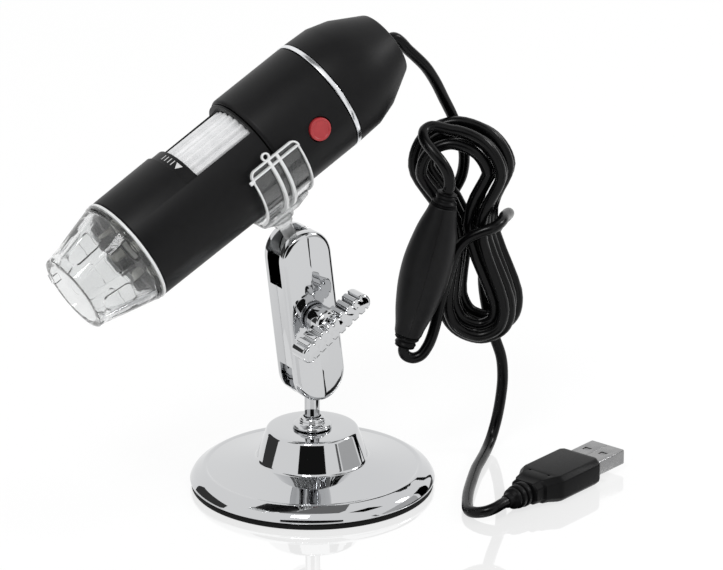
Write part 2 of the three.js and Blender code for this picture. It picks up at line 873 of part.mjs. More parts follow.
function stemGeometry() {
  const collarTop = -bossBottom - clearance;
  const collarBottom = collarTop - stem.collarHeight;
  const pinTop = collarTop + clip.socketDepth;
  const start = Math.asin(stem.neckRadius / post.ballRadius);
  const steps = facets.tiny;
  const ballProfile = Array.from({ length: steps + 1 }, (_, i) => {
    const angle = start + ((Math.PI - start) * i) / steps;
    const radius = i === steps ? 0 : post.ballRadius * Math.sin(angle);
    return [radius, -stem.length + post.ballRadius * Math.cos(angle)];
  });
  const profile = [
    [0, pinTop],
    [stem.pinRadius, pinTop],
    [stem.pinRadius, collarTop],
    [stem.collarRadius, collarTop],
    [stem.collarRadius, collarBottom + stem.tipGap],
    [stem.neckRadius, collarBottom],
    ...ballProfile,
  ];
  return turned(profile, facets.small);
}

// The barrel's shells, in the barrel's own frame: X runs back from the seam behind the nose.
const bandStart = windowCut.start - windowCut.bandWidth;

// A cutter over the barrel's top: a ring sector along X, its angles from the top either way.
function topSector(bore, radius, from, to) {
  const half = windowCut.halfAngle;
  return pushed(sector(bore, radius, quarterTurn - half, quarterTurn + half, facets.tiny), from, to, "x");
}

function frontShell() {
  const shell = turned(
    [
      [barrel.frontBore, 0],
      [barrel.tipRadius - barrel.frontEdge, 0],
      [barrel.tipRadius, barrel.frontEdge],
      [barrel.frontRadius, barrel.frontLength],
      [barrel.spigotRadius, barrel.frontLength],
      [barrel.spigotRadius, barrel.frontLength + barrel.spigotLength],
      [barrel.spigotBore, barrel.frontLength + barrel.spigotLength],
      [barrel.spigotBore, barrel.frontLength],
      [barrel.frontBore, barrel.frontLength],
    ],
    facets.large,
    "x",
  );
  const outside = barrel.rearRadius + overrun;
  return cut(
    shell,
    topSector(barrel.frontRadius - windowCut.bandDepth, outside, bandStart, windowCut.start + overrun),
    topSector(guide.radius, outside, windowCut.start, windowEnd),
  );
}

const buttonDirection = radians(button.angle);

function rearShell() {
  const start = barrel.frontLength + clearance;
  const end = ringAt - clearance;
  const bore = barrel.spigotRadius + clearance;
  const lip = barrel.rearLip;
  const shell = turned(
    [
      [bore, start],
      [barrel.rearRadius - lip, start],
      [barrel.rearRadius, start + lip],
      [barrel.rearRadius, end],
      [bore, end],
    ],
    facets.large,
    "x",
  );
  const hole = rod(button.radius + button.gap, barrel.spigotBore, barrel.rearRadius + overrun, facets.small)
    .rotateX(buttonDirection)
    .translate(buttonAt, 0, 0);
  return cut(shell, hole);
}

function silverRing() {
  const radius = barrel.rearRadius + barrel.ringProud;
  return tube(
    barrel.spigotRadius + clearance,
    radius,
    ringAt,
    ringAt + barrel.ringWidth,
    facets.large,
    "x",
  );
}

function rearCap() {
  const start = ringAt + barrel.ringWidth + clearance;
  const spigotStart = ringAt - barrel.capSpigot;
  const innerEnd = barrelEnd - barrel.capWall;
  const cap = turned(
    [
      [barrel.spigotBore, spigotStart],
      [barrel.spigotRadius, spigotStart],
      [barrel.spigotRadius, start],
      [barrel.rearRadius, start],
      [barrel.chamferRadius, chamferAt],
      [barrel.endRadius, barrelEnd],
      [barrel.cordHole, barrelEnd],
      [barrel.cordHole, innerEnd],
      [barrel.endRadius - barrel.capWall, innerEnd],
      [barrel.chamferRadius - barrel.capWall, chamferAt],
    ],
    facets.large,
    "x",
  );
  const flat = 1 / Math.cos(Math.PI / barrel.endFlats);
  const slope = (barrel.chamferRadius - barrel.endRadius) / (barrelEnd - chamferAt);
  const flatRadius = (at) => (barrel.endRadius + slope * (barrelEnd - at)) * flat;
  const wide = spigotStart - overrun;
  const trim = turned(
    [
      [0, wide],
      [flatRadius(wide), wide],
      [flatRadius(barrelEnd + overrun), barrelEnd + overrun],
      [0, barrelEnd + overrun],
    ],
    barrel.endFlats,
    "x",
  );
  return common(cap, trim);
}

function noseCone() {
  const back = -(seamRing.width + 2 * clearance);
  const spigotRadius = barrel.frontBore - clearance;
  const front = -nose.length;
  const cone = turned(
    [
      [spigotRadius - nose.wall, nose.spigot],
      [spigotRadius, nose.spigot],
      [spigotRadius, back],
      [barrel.tipRadius, back],
      [barrel.tipRadius, back - nose.flange],
      [nose.frontRadius, front],
      [nose.rimBore, front],
      [nose.rimBore, front + nose.rimDepth],
      [barrel.tipRadius - nose.wall - nose.flange, back - nose.flange],
      [spigotRadius - nose.wall, back],
    ],
    facets.large,
    "x",
  );
  const tab = block(nose.tabDepth, nose.tabWidth, nose.tabHeight * 2, front + nose.tabDepth / 2, 0, nose.frontRadius)
    .rotateX(radians(nose.tabAngle));
  return join(cone, tab);
}

function seamRingGeometry() {
  const start = -(seamRing.width + clearance);
  const bore = barrel.frontBore;
  return tube(bore, barrel.tipRadius + seamRing.proud, start, -clearance, facets.large, "x");
}

// What the barrel holds inside.
const ledBoardStart = nose.spigot + ledBoard.gap;

function ledBoardGeometry() {
  const bore = guide.radius - guide.wall + clearance;
  const radius = barrel.frontBore - clearance;
  return tube(bore, radius, ledBoardStart, ledBoardStart + ledBoard.thickness, facets.medium, "x");
}

function ledGeometry(index) {
  const end = ledBoardStart - clearance;
  const { radius, length } = led;
  const lamp = turned(
    [
      [0, end],
      [radius, end],
      [radius, end - length],
      [radius * Math.SQRT1_2, end - length - radius * Math.SQRT1_2],
      [0, end - length - radius],
    ],
    facets.tiny,
    "x",
  );
  return lamp.translate(0, 0, led.ringRadius).rotateX((2 * Math.PI * (index + 1 / 2)) / led.count);
}

function guideTube() {
  const bore = guide.radius - guide.wall;
  const flangeRadius = barrel.frontBore - clearance;
  const flangeEnd = guide.flangeAt + guide.flangeWidth;
  const body = turned(
    [
      [bore, guide.start],
      [guide.radius, guide.start],
      [guide.radius, guide.flangeAt],
      [flangeRadius, guide.flangeAt],
      [flangeRadius, flangeEnd],
      [guide.radius, flangeEnd],
      [guide.radius, guideEnd],
      [bore, guideEnd],
    ],
    facets.medium,
    "x",
  );
  const slotLength = 2 * (follower.travel + follower.radius + clearance);
  const slotMiddle = lens.start + follower.at;
  const slotHeight = (bore + flangeRadius) / 2;
  const slot = block(slotLength, guide.slotWidth, flangeRadius - bore + overrun, slotMiddle, 0, slotHeight);
  return cut(body, slot.rotateX(Math.PI));
}

function rearBulkhead() {
  const start = barrel.frontLength + bulkhead.inset;
  return tube(
    guide.radius + clearance,
    barrel.spigotBore - clearance,
    start,
    start + bulkhead.width,
    facets.medium,
    "x",
  );
}

// The focus roller: lengthwise ribs round a drum that turns on the guide tube.
function focusRoller() {
  const radius = barrel.frontRadius - roller.drop;
  const pitch = 360 / roller.ribs;
  const outline = [];
  for (let i = 0; i < roller.ribs; i++) {
    const crest = pitch * roller.ribShare;
    outline.push(...arc(radius, i * pitch, i * pitch + crest, 1));
    const from = i * pitch + crest * (1 + roller.flankShare);
    const to = (i + 1) * pitch - crest * roller.flankShare;
    outline.push(...arc(radius - roller.ribDepth, from, to, 1));
  }
  const start = guide.flangeAt + guide.flangeWidth + clearance;
  const end = barrel.frontLength - clearance;
  const drum = pushed(outline, start, end, "x");
  return cut(drum, rod(guide.radius + clearance, start - overrun, end + overrun, facets.medium, "x"));
}

const lensBarrelRadius = guide.radius - guide.wall - clearance;

function lensCarriage() {
  const bore = lensBarrelRadius - lens.wall;
  const body = turned(
    [
      [bore, lens.start],
      [lensBarrelRadius, lens.start],
      [lensBarrelRadius, lens.start + lens.length],
      [bore - lens.lip, lens.start + lens.length],
      [bore - lens.lip, lens.start + lens.length - lens.lip],
      [bore, lens.start + lens.length - lens.lip],
    ],
    facets.medium,
    "x",
  );
  const pin = rod(follower.radius, bore + lens.wall / 2, guide.radius, facets.tiny)
    .rotateX(Math.PI)
    .translate(lens.start + follower.at, 0, 0);
  return join(body, pin);
}

function lensGeometry(at) {
  const radius = lensBarrelRadius - lens.wall - clearance;
  const middle = lens.start + at;
  return turned(
    [
      [0, middle - lens.rim / 2 - lens.crown],
      [radius * lens.bendShare, middle - lens.rim / 2 - lens.crown * lens.bendRiseShare],
      [radius, middle - lens.rim / 2],
      [radius, middle + lens.rim / 2],
      [radius * lens.bendShare, middle + lens.rim / 2 + lens.crown * lens.bendRiseShare],
      [0, middle + lens.rim / 2 + lens.crown],
    ],
    facets.small,
    "x",
  );
}

function sensorBoard() {
  const radius = barrel.spigotRadius;
  return rod(radius, sensorAt, sensorAt + sensor.boardThickness, facets.medium, "x");
}

function sensorChip() {
  const middle = sensorAt - clearance - sensor.chipHeight / 2;
  return block(sensor.chipHeight, sensor.chip, sensor.chip, middle);
}

// The button stands on the barrel's side, and its board and switch lie under it.
function mainBoardGeometry() {
  const start = sensorAt + sensor.boardThickness + clearance;
  const top = mainBoard.height + mainBoard.thickness;
  const halfWidth = Math.sqrt(barrel.spigotRadius ** 2 - top ** 2);
  return block(
    mainBoard.length,
    2 * halfWidth,
    mainBoard.thickness,
    start + mainBoard.length / 2,
    0,
    top - mainBoard.thickness / 2,
  ).rotateX(buttonDirection);
}

const switchStart = mainBoard.height + mainBoard.thickness + clearance;
const plungerTop = switchStart + pushSwitch.height + pushSwitch.plungerHeight;

function pushSwitchGeometry() {
  const body = block(
    pushSwitch.size,
    pushSwitch.size,
    pushSwitch.height,
    0,
    0,
    switchStart + pushSwitch.height / 2,
  );
  const plunger = rod(pushSwitch.plungerRadius, switchStart + pushSwitch.height / 2, plungerTop, facets.tiny);
  return join(body, plunger).rotateX(buttonDirection).translate(buttonAt, 0, 0);
}

function snapButton() {
  const bottom = plungerTop + clearance + button.travel;
  const top = barrel.rearRadius + button.proud;
  return turned(
    [
      [0, bottom],
      [button.radius + button.flange, bottom],
      [button.radius + button.flange, bottom + button.flangeHeight],
      [button.radius, bottom + button.flangeHeight],
      [button.radius, top - button.gap / 2],
      [button.radius - button.gap / 2, top],
      [0, top],
    ],
    facets.small,
  )
    .rotateX(buttonDirection)
    .translate(buttonAt, 0, 0);
}

function cordGland() {
  const inside = barrelEnd - barrel.capWall - clearance;
  const outside = barrelEnd + clearance;
  const neck = barrel.cordHole - clearance;
  return turned(
    [
      [0, inside - gland.flangeHeight],
      [gland.flangeRadius, inside - gland.flangeHeight],
      [gland.flangeRadius, inside],
      [neck, inside],
      [neck, outside],
      [gland.collarRadius, outside],
      [cord.radius + clearance, outside + gland.collarHeight],
      [0, outside + gland.collarHeight],
    ],
    facets.small,
    "x",
  );
}

function makeBarrel() {
  const group = new THREE.Group();
  group.add(
    piece("front_shell", frontShell(), "softBlack"),
    piece("rear_shell", rearShell(), "softBlack"),
    piece("silver_ring", silverRing(), "silver"),
    piece("rear_cap", rearCap(), "softBlack"),
    piece("nose_cone", noseCone(), "clear"),
    piece("seam_ring", seamRingGeometry(), "clear"),
    piece("led_board", ledBoardGeometry(), "boardWhite"),
    piece("guide_tube", guideTube(), "innerBlack"),
    piece("rear_bulkhead", rearBulkhead(), "innerBlack"),
    piece("focus_roller", focusRoller(), "rollerGrey"),
    piece("lens_carriage", lensCarriage(), "innerBlack"),
    piece("front_lens", lensGeometry(lens.frontAt + lens.crown), "glass"),
    piece("rear_lens", lensGeometry(lens.rearAt), "glass"),
    piece("sensor_board", sensorBoard(), "board"),
    piece("image_sensor", sensorChip(), "chip"),
    piece("main_board", mainBoardGeometry(), "board"),
    piece("push_switch", pushSwitchGeometry(), "steel"),
    piece("snap_button", snapButton(), "red"),
    piece("cord_gland", cordGland(), "blackRubber"),
  );
  for (let i = 0; i < led.count; i++) {
    group.add(piece(`led_${i + 1}`, ledGeometry(i), "whitePlastic"));
  }
  group.position.x = -barrel.clipAt;
  group.rotation.x = -radians(pose.barrelRoll);
  return group;
}

// The clip, the stem and the barrel share one tilt at the upper ball.
function makeHead() {
  const group = new THREE.Group();
  const tilt = radians(pose.barrelPitch);
  const stemDirection = new THREE.Vector3(-Math.sin(tilt), 0, Math.cos(tilt));
  group.position.copy(upperBall).addScaledVector(stemDirection, stem.length);
  group.rotation.y = -tilt;
  group.add(
    piece("ball_stem", stemGeometry(), "clear"),
    piece("clip", clipGeometry(), "clear"),
    makeBarrel(),
  );
  return group;
}

// The outer loop of the hank: round ends joined by runs that draw in to the waist. It starts at
// the left of the waist and goes down first.
function hankOutline() {
  const { topHalfWidth, bottomHalfWidth, waistHalfWidth, arcSteps } = hank;
  const flat = [
    [-waistHalfWidth, hank.waist],
    ...arc(bottomHalfWidth, 180, 360, arcSteps, 0, hank.bottom + bottomHalfWidth),
    [waistHalfWidth, hank.waist],
    ...arc(topHalfWidth, 0, 180, arcSteps, 0, hank.top - topHalfWidth),
  ];
  return new THREE.CatmullRomCurve3(flat.map(([x, z]) => new THREE.Vector3(x, 0, z)), true);
}

const outerLoop = hankOutline();

// A point of the hank, by its turns from the start. Each layer spirals in or out, and the climb
// to the next one takes the half turn round the waist where the spiral reverses.
function hankPoint(turn) {
  const layer = Math.min(Math.floor(turn / hank.layerTurns), hank.layers - 1);
  const into = turn - layer * hank.layerTurns;
  const inward = hank.step * (layer % 2 === 0 ? into : hank.layerTurns - into);
  let height = -(hank.layers - 1) / 2;
  for (let i = 1; i < hank.layers; i++) {
    height += THREE.MathUtils.smoothstep(turn, i * hank.layerTurns - 1 / 4, i * hank.layerTurns + 1 / 4);
  }
  const point = outerLoop.getPoint(turn % 1);
  const along = outerLoop.getTangent(turn % 1);
  point.x -= along.z * inward;
  point.z += along.x * inward;
  point.x -= hank.lean * (point.z - hank.leanPivot) + hank.layerShift * height;
  point.y = -hank.layerPitch * height;
  return point;
}

function hankPath() {
  const turns = hank.end - hank.start;
  const count = Math.round(turns * hank.stepsPerLoop);
  const points = Array.from({ length: count + 1 }, (_, i) => hankPoint(hank.start + (turns * i) / count));
  const straight = 2 * cord.radius;
  const beyond = (end, next) => end.clone().addScaledVector(end.clone().sub(next).normalize(), straight);
  return [beyond(points[0], points[1]), ...points, beyond(points[count], points[count - 1])];
}

// The least gap between parts of the hank's tube that aren't neighbours along it.
function leastGap(points) {
  const apart = Math.round(hank.stepsPerLoop / 2);
  const fine = [];
  for (let i = 0; i + 1 < points.length; i++) {
    for (const share of [0, 1 / 4, 1 / 2, 3 / 4]) fine.push(points[i].clone().lerp(points[i + 1], share));
  }
  let least = Infinity;
  for (let i = 0; i < fine.length; i++) {
    for (let k = i + 4 * apart; k < fine.length; k++) least = Math.min(least, fine[i].distanceTo(fine[k]));
  }
  return least - 2 * cord.radius;
}

// The inline control, along its own Z from the bottom end to the top end.
const controlAxis = new THREE.Vector3(control.topX - control.bottomX, 0, control.topZ - control.bottomZ);
const controlLength = controlAxis.length();
const bodyShares = [
  [0, 0],
  [0.05, 0.1],
  [0.22, 0.62],
  [0.42, 0.97],
  [0.55, 1],
  [0.78, 0.66],
  [0.95, 0.12],
  [1, 0],
];

function bodyProfile(inset) {
  const radii = bodyShares.map(([alongShare, swellShare]) => [
    control.endRadius + (control.radius - control.endRadius) * swellShare - inset,
    controlLength * alongShare,
  ]);
  return radii;
}

function controlShell(side) {
  const outer = turned([[0, 0], ...bodyProfile(0), [0, controlLength]], facets.small);
  const hollowProfile = bodyProfile(control.wall).map(([radius, height]) => [
    radius,
    control.wall + (height * (controlLength - 2 * control.wall)) / controlLength,
  ]);
  const hollow = turned(
    [[0, control.wall], ...hollowProfile, [0, controlLength - control.wall]],
    facets.small,
  );
  const size = 3 * control.radius;
  const otherSide = block(size, size, 2 * controlLength, -side * (size / 2 - clearance / 2), 0, 0);
  return cut(outer, hollow, otherSide, wheelPocket());
}

const wheelAt = controlLength / 2;
const wheelBack = control.radius + control.wheelProud - control.wheelRadius;

// The slot in the shells that the dimmer wheel stands in, at the back.
function wheelPocket() {
  const radius = control.wheelRadius + clearance;
  const half = control.wheelWidth / 2 + clearance;
  return rod(radius, -half, half, facets.small, "x").translate(0, wheelBack, wheelAt);
}

function dimmerWheel() {
  const pitch = 360 / control.wheelTeeth;
  const outline = [];
  for (let i = 0; i < control.wheelTeeth; i++) {
    outline.push(...arc(control.wheelRadius, i * pitch, (i + 1 / 2) * pitch, 1));
    outline.push(arc(control.wheelRadius - control.wheelGroove, (i + 3 / 4) * pitch, 360, 1)[0]);
  }
  return pushed(outline, -control.wheelWidth / 2, control.wheelWidth / 2, "x").translate(0, wheelBack, wheelAt);
}

function controlBoard() {
  const back = wheelBack - control.wheelRadius - 2 * clearance;
  return block(
    control.boardWidth,
    control.boardThickness,
    control.boardLength,
    0,
    back - control.boardThickness / 2,
    wheelAt,
  );
}

// A tapered relief with grooves, from its wide end to its tip.
function ribbedRelief(radius, tip, length, rings, groove) {
  const pitch = length / rings;
  const at = (z) => radius + ((tip - radius) * z) / length;
  const profile = [[0, 0]];
  for (let i = 0; i < rings; i++) {
    const start = i * pitch;
    profile.push([at(start), start], [at(start), start + pitch / 2]);
    profile.push([at(start) - groove, start + (pitch * 2) / 3], [at(start) - groove, start + (pitch * 5) / 6]);
  }
  profile.push([tip, length], [0, length]);
  return turned(profile, facets.tiny);
}

function makeControl() {
  const group = new THREE.Group();
  group.position.set(control.bottomX, -control.forward, control.bottomZ);
  group.rotation.y = Math.atan2(controlAxis.x, controlAxis.z);
  const relief = () => ribbedRelief(
    control.reliefRadius,
    control.reliefTip,
    control.reliefLength,
    control.reliefRings,
    control.reliefGroove,
  );
  group.add(
    piece("control_left_shell", controlShell(-1), "softBlack"),
    piece("control_right_shell", controlShell(1), "softBlack"),
    piece("dimmer_wheel", dimmerWheel(), "innerBlack"),
    piece("control_board", controlBoard(), "board"),
    piece("control_top_relief", relief().translate(0, 0, controlLength + clearance), "blackRubber"),
    piece("control_bottom_relief", relief().rotateX(Math.PI).translate(0, 0, -clearance), "blackRubber"),
  );
  return group;
}

// The plug lies on the floor beyond the lead's last point, along its own X.
function plugBody() {
  const corner = plug.corner;
  const outline = (width, height) => roundedBox(width, height, corner, 2);
  const levels = [
    { outline: outline(plug.neckWidth, plug.neckHeight), height: 0 },
    { outline: outline(plug.width, plug.height), height: plug.shoulder },
    { outline: outline(plug.width, plug.height), height: plug.length - corner / 2 },
    { outline: outline(plug.width - corner, plug.height - corner), height: plug.length },
  ];
  const body = lofted(levels, "x");
  const seat = block(
    2 * plug.shellSeat,
    plug.shellWidth + 2 * clearance,
    plug.shellHeight + 2 * clearance,
    plug.length,
  );
  return cut(body, seat);
}

const shellStart = plug.length - plug.shellSeat + clearance;
const shellEnd = plug.length + plug.shellLength;
const tongueWidth = plug.shellWidth - 2 * plug.shellWall - 2 * clearance;

function plugShell() {
  const middle = (shellStart + shellEnd) / 2;
  const outside = block(shellEnd - shellStart, plug.shellWidth, plug.shellHeight, middle);
  const inside = block(
    shellEnd - shellStart + 2 * overrun,
    plug.shellWidth - 2 * plug.shellWall,
    plug.shellHeight - 2 * plug.shellWall,
    middle,
  );
  return cut(outside, inside);
}

const tongueBottom = -plug.shellHeight / 2 + plug.shellWall + clearance;

function plugTongue() {
  const end = shellEnd - plug.tongueInset;
  return block(
    end - shellStart,
    tongueWidth,
    plug.tongueHeight,
    (shellStart + end) / 2,
    0,
    tongueBottom + plug.tongueHeight / 2,
  );
}

function plugContact(index) {
  const end = shellEnd - 2 * plug.tongueInset;
  const side = (index - (plug.contacts - 1) / 2) * plug.contactPitch;
  const height = tongueBottom + plug.tongueHeight + clearance + plug.contactHeight / 2;
  return block(plug.contactLength, plug.contactWidth, plug.contactHeight, end - plug.contactLength / 2, side, height);
}

function makePlug() {
  const group = new THREE.Group();
  const [x, y, z] = lowerRoute[lowerRoute.length - 1];
  const [beforeX, beforeY] = lowerRoute[lowerRoute.length - 2];
  const heading = Math.atan2(y - beforeY, x - beforeX);
  const reach = clearance + plug.reliefLength + clearance;
  group.position.set(x + reach * Math.cos(heading), y + reach * Math.sin(heading), plug.lift + plug.height / 2);
  group.rotation.z = heading;
  const relief = ribbedRelief(
    plug.reliefRadius,
    plug.reliefTip,
    plug.reliefLength,
    plug.reliefRings,
    plug.reliefGroove,
  );
  relief.rotateY(-Math.PI / 2).translate(-clearance, 0, z - plug.lift - plug.height / 2);
  group.add(
    piece("plug_relief", relief, "blackRubber"),
    piece("plug_body", plugBody(), "softBlack"),
    piece("plug_shell", plugShell(), "steel"),
    piece("plug_tongue", plugTongue(), "whitePlastic"),
  );
  for (let i = 0; i < plug.contacts; i++) {
    group.add(piece(`plug_contact_${i + 1}`, plugContact(i), "gold"));
  }
  return group;
}

function makeLead() {
  const group = new THREE.Group();
  group.position.set(hank.x, hank.y, 0);
  group.rotation.z = radians(hank.facingAngle);
  const loops = hankPath();
  console.log(`least gap in the hank: ${leastGap(loops).toFixed(2)} mm`);
  group.add(
    piece("cord_upper", stretch(upperRoute), "blackRubber"),
    piece("cord_hank", swept(loops, cord.radius, facets.loop), "blackRubber"),
    piece("cord_inlet", stretch(inletRoute), "blackRubber"),
    piece("cord_lower", stretch(lowerRoute), "blackRubber"),
    makeControl(),
    makePlug(),
  );
  return group;
}

const microscope = new THREE.Group();
microscope.add(makeStand(), makeArm(), makeHead(), makeLead());
microscope.updateMatrixWorld(true);

export default microscope;
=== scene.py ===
"""A pocket digital microscope in a clear clip on a chromed ball-joint stand, dressed round its frame."""

import logging
import math
from collections.abc import Callable
from dataclasses import dataclass, field
from enum import Enum

import bmesh
import bpy
from mathutils import Matrix, Vector


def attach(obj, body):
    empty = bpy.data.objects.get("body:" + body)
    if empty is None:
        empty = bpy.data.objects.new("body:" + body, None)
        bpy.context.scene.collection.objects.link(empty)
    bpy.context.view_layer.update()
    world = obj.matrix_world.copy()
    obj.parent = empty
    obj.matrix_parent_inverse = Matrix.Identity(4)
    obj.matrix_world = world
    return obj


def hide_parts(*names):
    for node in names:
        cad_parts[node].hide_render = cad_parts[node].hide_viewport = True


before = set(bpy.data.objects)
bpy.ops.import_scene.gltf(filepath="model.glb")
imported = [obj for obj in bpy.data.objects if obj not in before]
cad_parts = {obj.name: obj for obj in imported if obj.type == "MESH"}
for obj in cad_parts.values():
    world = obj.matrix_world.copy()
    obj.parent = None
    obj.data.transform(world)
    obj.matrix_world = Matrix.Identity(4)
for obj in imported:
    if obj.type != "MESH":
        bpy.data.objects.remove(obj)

logging.basicConfig(level=logging.INFO, format="%(message)s")
log = logging.getLogger("microscope")

MM = 0.001
CLEARANCE = 0.3
OVERRUN = 1.0
OVERLAP = 0.01
FINE = 144
MEDIUM = 72
SMALL = 40
# A noise's usable middle range, and how much larger and finer its clouds of colour are.
NOISE_LOW, NOISE_HIGH = 0.3, 0.7
CLOUD_SCALE, CLOUD_DETAIL = 12, 3.0
COAT_ROUGHNESS = 0.08
WHITE = (1, 1, 1, 1)
# Rounding: a corner that bends less stays, and a rounding takes no more of a side than its share.
LEAST_BEND = math.radians(14)
LEAST_REACH = 0.02
SIDE_SHARE = 0.45
WELD = 1e-4
EASE_SEGMENTS = 3
EASE_FROM = math.radians(38)

Point = tuple[float, ...]
Solid = tuple[list[Vector], list[tuple[int, ...]]]
Tree = bpy.types.NodeTree
Socket = bpy.types.NodeSocket
Piece = bpy.types.Object


class Along(Enum):
    """The way that a turned or pushed shape runs, as the rows of its turn."""

    X = ((0, 0, 1), (1, 0, 0), (0, 1, 0))
    FRONT = ((1, 0, 0), (0, 0, -1), (0, 1, 0))
    Z = ((1, 0, 0), (0, 1, 0), (0, 0, 1))


class Joining(Enum):
    """How a second shape meets the first."""

    CUT = "DIFFERENCE"
    ADD = "UNION"
    KEEP_COMMON = "INTERSECT"


Joins = tuple[tuple[Joining, Solid], ...]


# Colours and nodes


def linear(hex_colour: str) -> tuple[float, float, float, float]:
    """Turns an sRGB hex colour into linear light.

    Args:
        hex_colour: Six hex digits, with or without a leading hash.

    Returns:
        Red, green, blue and an alpha of one.
    """
    digits = hex_colour.lstrip("#")
    shares = [int(digits[i : i + 2], 16) / 255 for i in (0, 2, 4)]
    red, green, blue = [s / 12.92 if s <= 0.04045 else ((s + 0.055) / 1.055) ** 2.4 for s in shares]
    return red, green, blue, 1.0


def add_node(
    tree: Tree,
    kind: str,
    settings: dict[str | int, object] | None = None,
    links: dict[str | int, Socket] | None = None,
) -> bpy.types.Node:
    """Adds one node with its settings and links.

    Args:
        tree: The node tree that it joins.
        kind: Blender's name for the node.
        settings: Values by the name of a property or an input.
        links: Output sockets by the name or number of the input that they feed.

    Returns:
        The new node.
    """
    node = tree.nodes.new(kind)
    for name, value in (settings or {}).items():
        if isinstance(name, str) and hasattr(node, name):
            setattr(node, name, value)
        else:
            node.inputs[name].default_value = value
    for name, socket in (links or {}).items():
        tree.links.new(socket, node.inputs[name])
    return node


def grain(tree: Tree, size_mm: float, detail: float = 2.0, stretch: Vector | None = None) -> Socket:
    """A noise whose spots are of a real size on the piece itself.

    Args:
        tree: The material's tree.
        size_mm: The spots' size in millimetres.
        detail: How many finer octaves it has.
        stretch: Scales of the three axes, where the grain is drawn out.

    Returns:
        The noise's factor socket.
    """
    place = add_node(tree, "ShaderNodeTexCoord")
    vector = place.outputs["Object"]
    if stretch is not None:
        vector = add_node(tree, "ShaderNodeMapping", {"Scale": stretch}, {"Vector": vector}).outputs[0]
    settings = {"Scale": 1 / (size_mm * MM), "Detail": detail}
    return add_node(tree, "ShaderNodeTexNoise", settings, {"Vector": vector}).outputs[0]


def between(tree: Tree, factor: Socket, low: float, high: float) -> Socket:
    """Spreads a noise's middle range between two values.

    Args:
        tree: The material's tree.
        factor: The noise's socket.
        low: The value at its low end.
        high: The value at its high end.

    Returns:
        The spread value's socket.
    """
    settings = {"From Min": NOISE_LOW, "From Max": NOISE_HIGH, "To Min": low, "To Max": high}
    return add_node(tree, "ShaderNodeMapRange", settings, {"Value": factor}).outputs[0]


# Finishes


@dataclass(frozen=True)
class Finish:
    """What a surface is made of, and how it was made."""

    name: str
    colour: str
    second: str
    roughness: float
    grain_mm: float
    bump_mm: float
    spread: float = 0.05
    metallic: float = 0.0
    ior: float = 1.5
    transmission: float = 0.0
    coat: float = 0.0
    specular: float = 0.5

    def stretch(self) -> Vector | None:
        """The grain's draw along the axes, or None where it has no direction."""
        return None

    def material(self) -> bpy.types.Material:
        """The finish as a material, made once and then shared.

        Returns:
            The material.
        """
        known = bpy.data.materials.get(self.name)
        if known:
            return known
        made = bpy.data.materials.new(self.name)
        made.use_nodes = True
        tree = made.node_tree
        shader = tree.nodes["Principled BSDF"]
        values = {
            "Metallic": self.metallic,
            "Transmission Weight": self.transmission,
            "Coat Weight": self.coat,
            "Coat Roughness": COAT_ROUGHNESS,
            "Specular IOR Level": self.specular,
        }
        if not self.metallic:
            values["IOR"] = self.ior
        for name, value in values.items():
            shader.inputs[name].default_value = value
        spots = grain(tree, self.grain_mm, stretch=self.stretch())
        clouds = between(tree, grain(tree, self.grain_mm * CLOUD_SCALE, CLOUD_DETAIL), 0, 1)
        colours = {"data_type": "RGBA", 6: linear(self.colour), 7: linear(self.second)}
        tint = add_node(tree, "ShaderNodeMix", colours, {0: clouds})
        tree.links.new(tint.outputs[2], shader.inputs["Base Color"])
        low, high = self.roughness * (1 - self.spread), self.roughness * (1 + self.spread)
        tree.links.new(between(tree, spots, low, high), shader.inputs["Roughness"])
        height = {"Strength": 1.0, "Distance": self.bump_mm * MM}
        bump = add_node(tree, "ShaderNodeBump", height, {"Height": spots})
        tree.links.new(bump.outputs[0], shader.inputs["Normal"])
        return made


@dataclass(frozen=True)
class DrawnFinish(Finish):
    """A finish whose grain is drawn out along one axis, as rolled or brushed sheet is."""

    draw: tuple[float, float, float] = (1.0, 1.0, 1.0)

    def stretch(self) -> Vector | None:
        """The grain's draw along the axes."""
        return Vector(self.draw)


# Chrome over die-cast zinc, buffed: a mirror with the faint waves that buffing leaves.
CHROME = Finish("chrome_plate_buffed", "#CDCECF", "#C6C7C9", 0.03, 9.0, 0.003, 0.3, metallic=1.0)
# Zinc-plated steel, tumbled: a dull grey mirror with fine scratches.
ZINC = Finish("zinc_plated_steel", "#9A9C9F", "#8B8D91", 0.3, 0.6, 0.004, 0.2, metallic=1.0)
# Grey cast iron, sand cast: coarse pits and a dark scale, inside the base.
IRON = Finish("cast_iron_sand_cast", "#3C3C3E", "#2D2C2B", 0.75, 0.9, 0.08, 0.15, metallic=0.6)
# Nickel-plated tin sheet of the plug, rolled: long faint lines and a soft shine.
NICKEL = DrawnFinish(
    "nickel_plated_sheet_rolled", "#949494", "#8C8C8D", 0.3, 0.35, 0.0004, 0.15,
    metallic=1.0, draw=(0.12, 1.0, 1.0),
)  # fmt: skip
# ABS under a soft-touch paint, sprayed: a dark, dry surface with a wide, weak shine.
SOFT_PAINT = Finish("abs_soft_touch_paint", "#151516", "#121213", 0.44, 0.22, 0.004, 0.08, specular=0.15)
# PVC sheath, extruded: smooth black with a narrow wet shine.
SHEATH = Finish("pvc_sheath_extruded", "#070708", "#050506", 0.25, 3.0, 0.001, 0.2, specular=0.17)
# PVC moulded over the lead, straight from the tool: a little duller than the sheath.
OVERMOULD = Finish("pvc_overmould", "#0F0F10", "#0B0B0C", 0.4, 0.3, 0.004, 0.1, specular=0.1)
# Natural rubber of the foot, moulded: dull, with a dry grain.
RUBBER = Finish("rubber_moulded", "#0F0F0F", "#0C0C0C", 0.7, 0.3, 0.008, 0.08, specular=0.15)
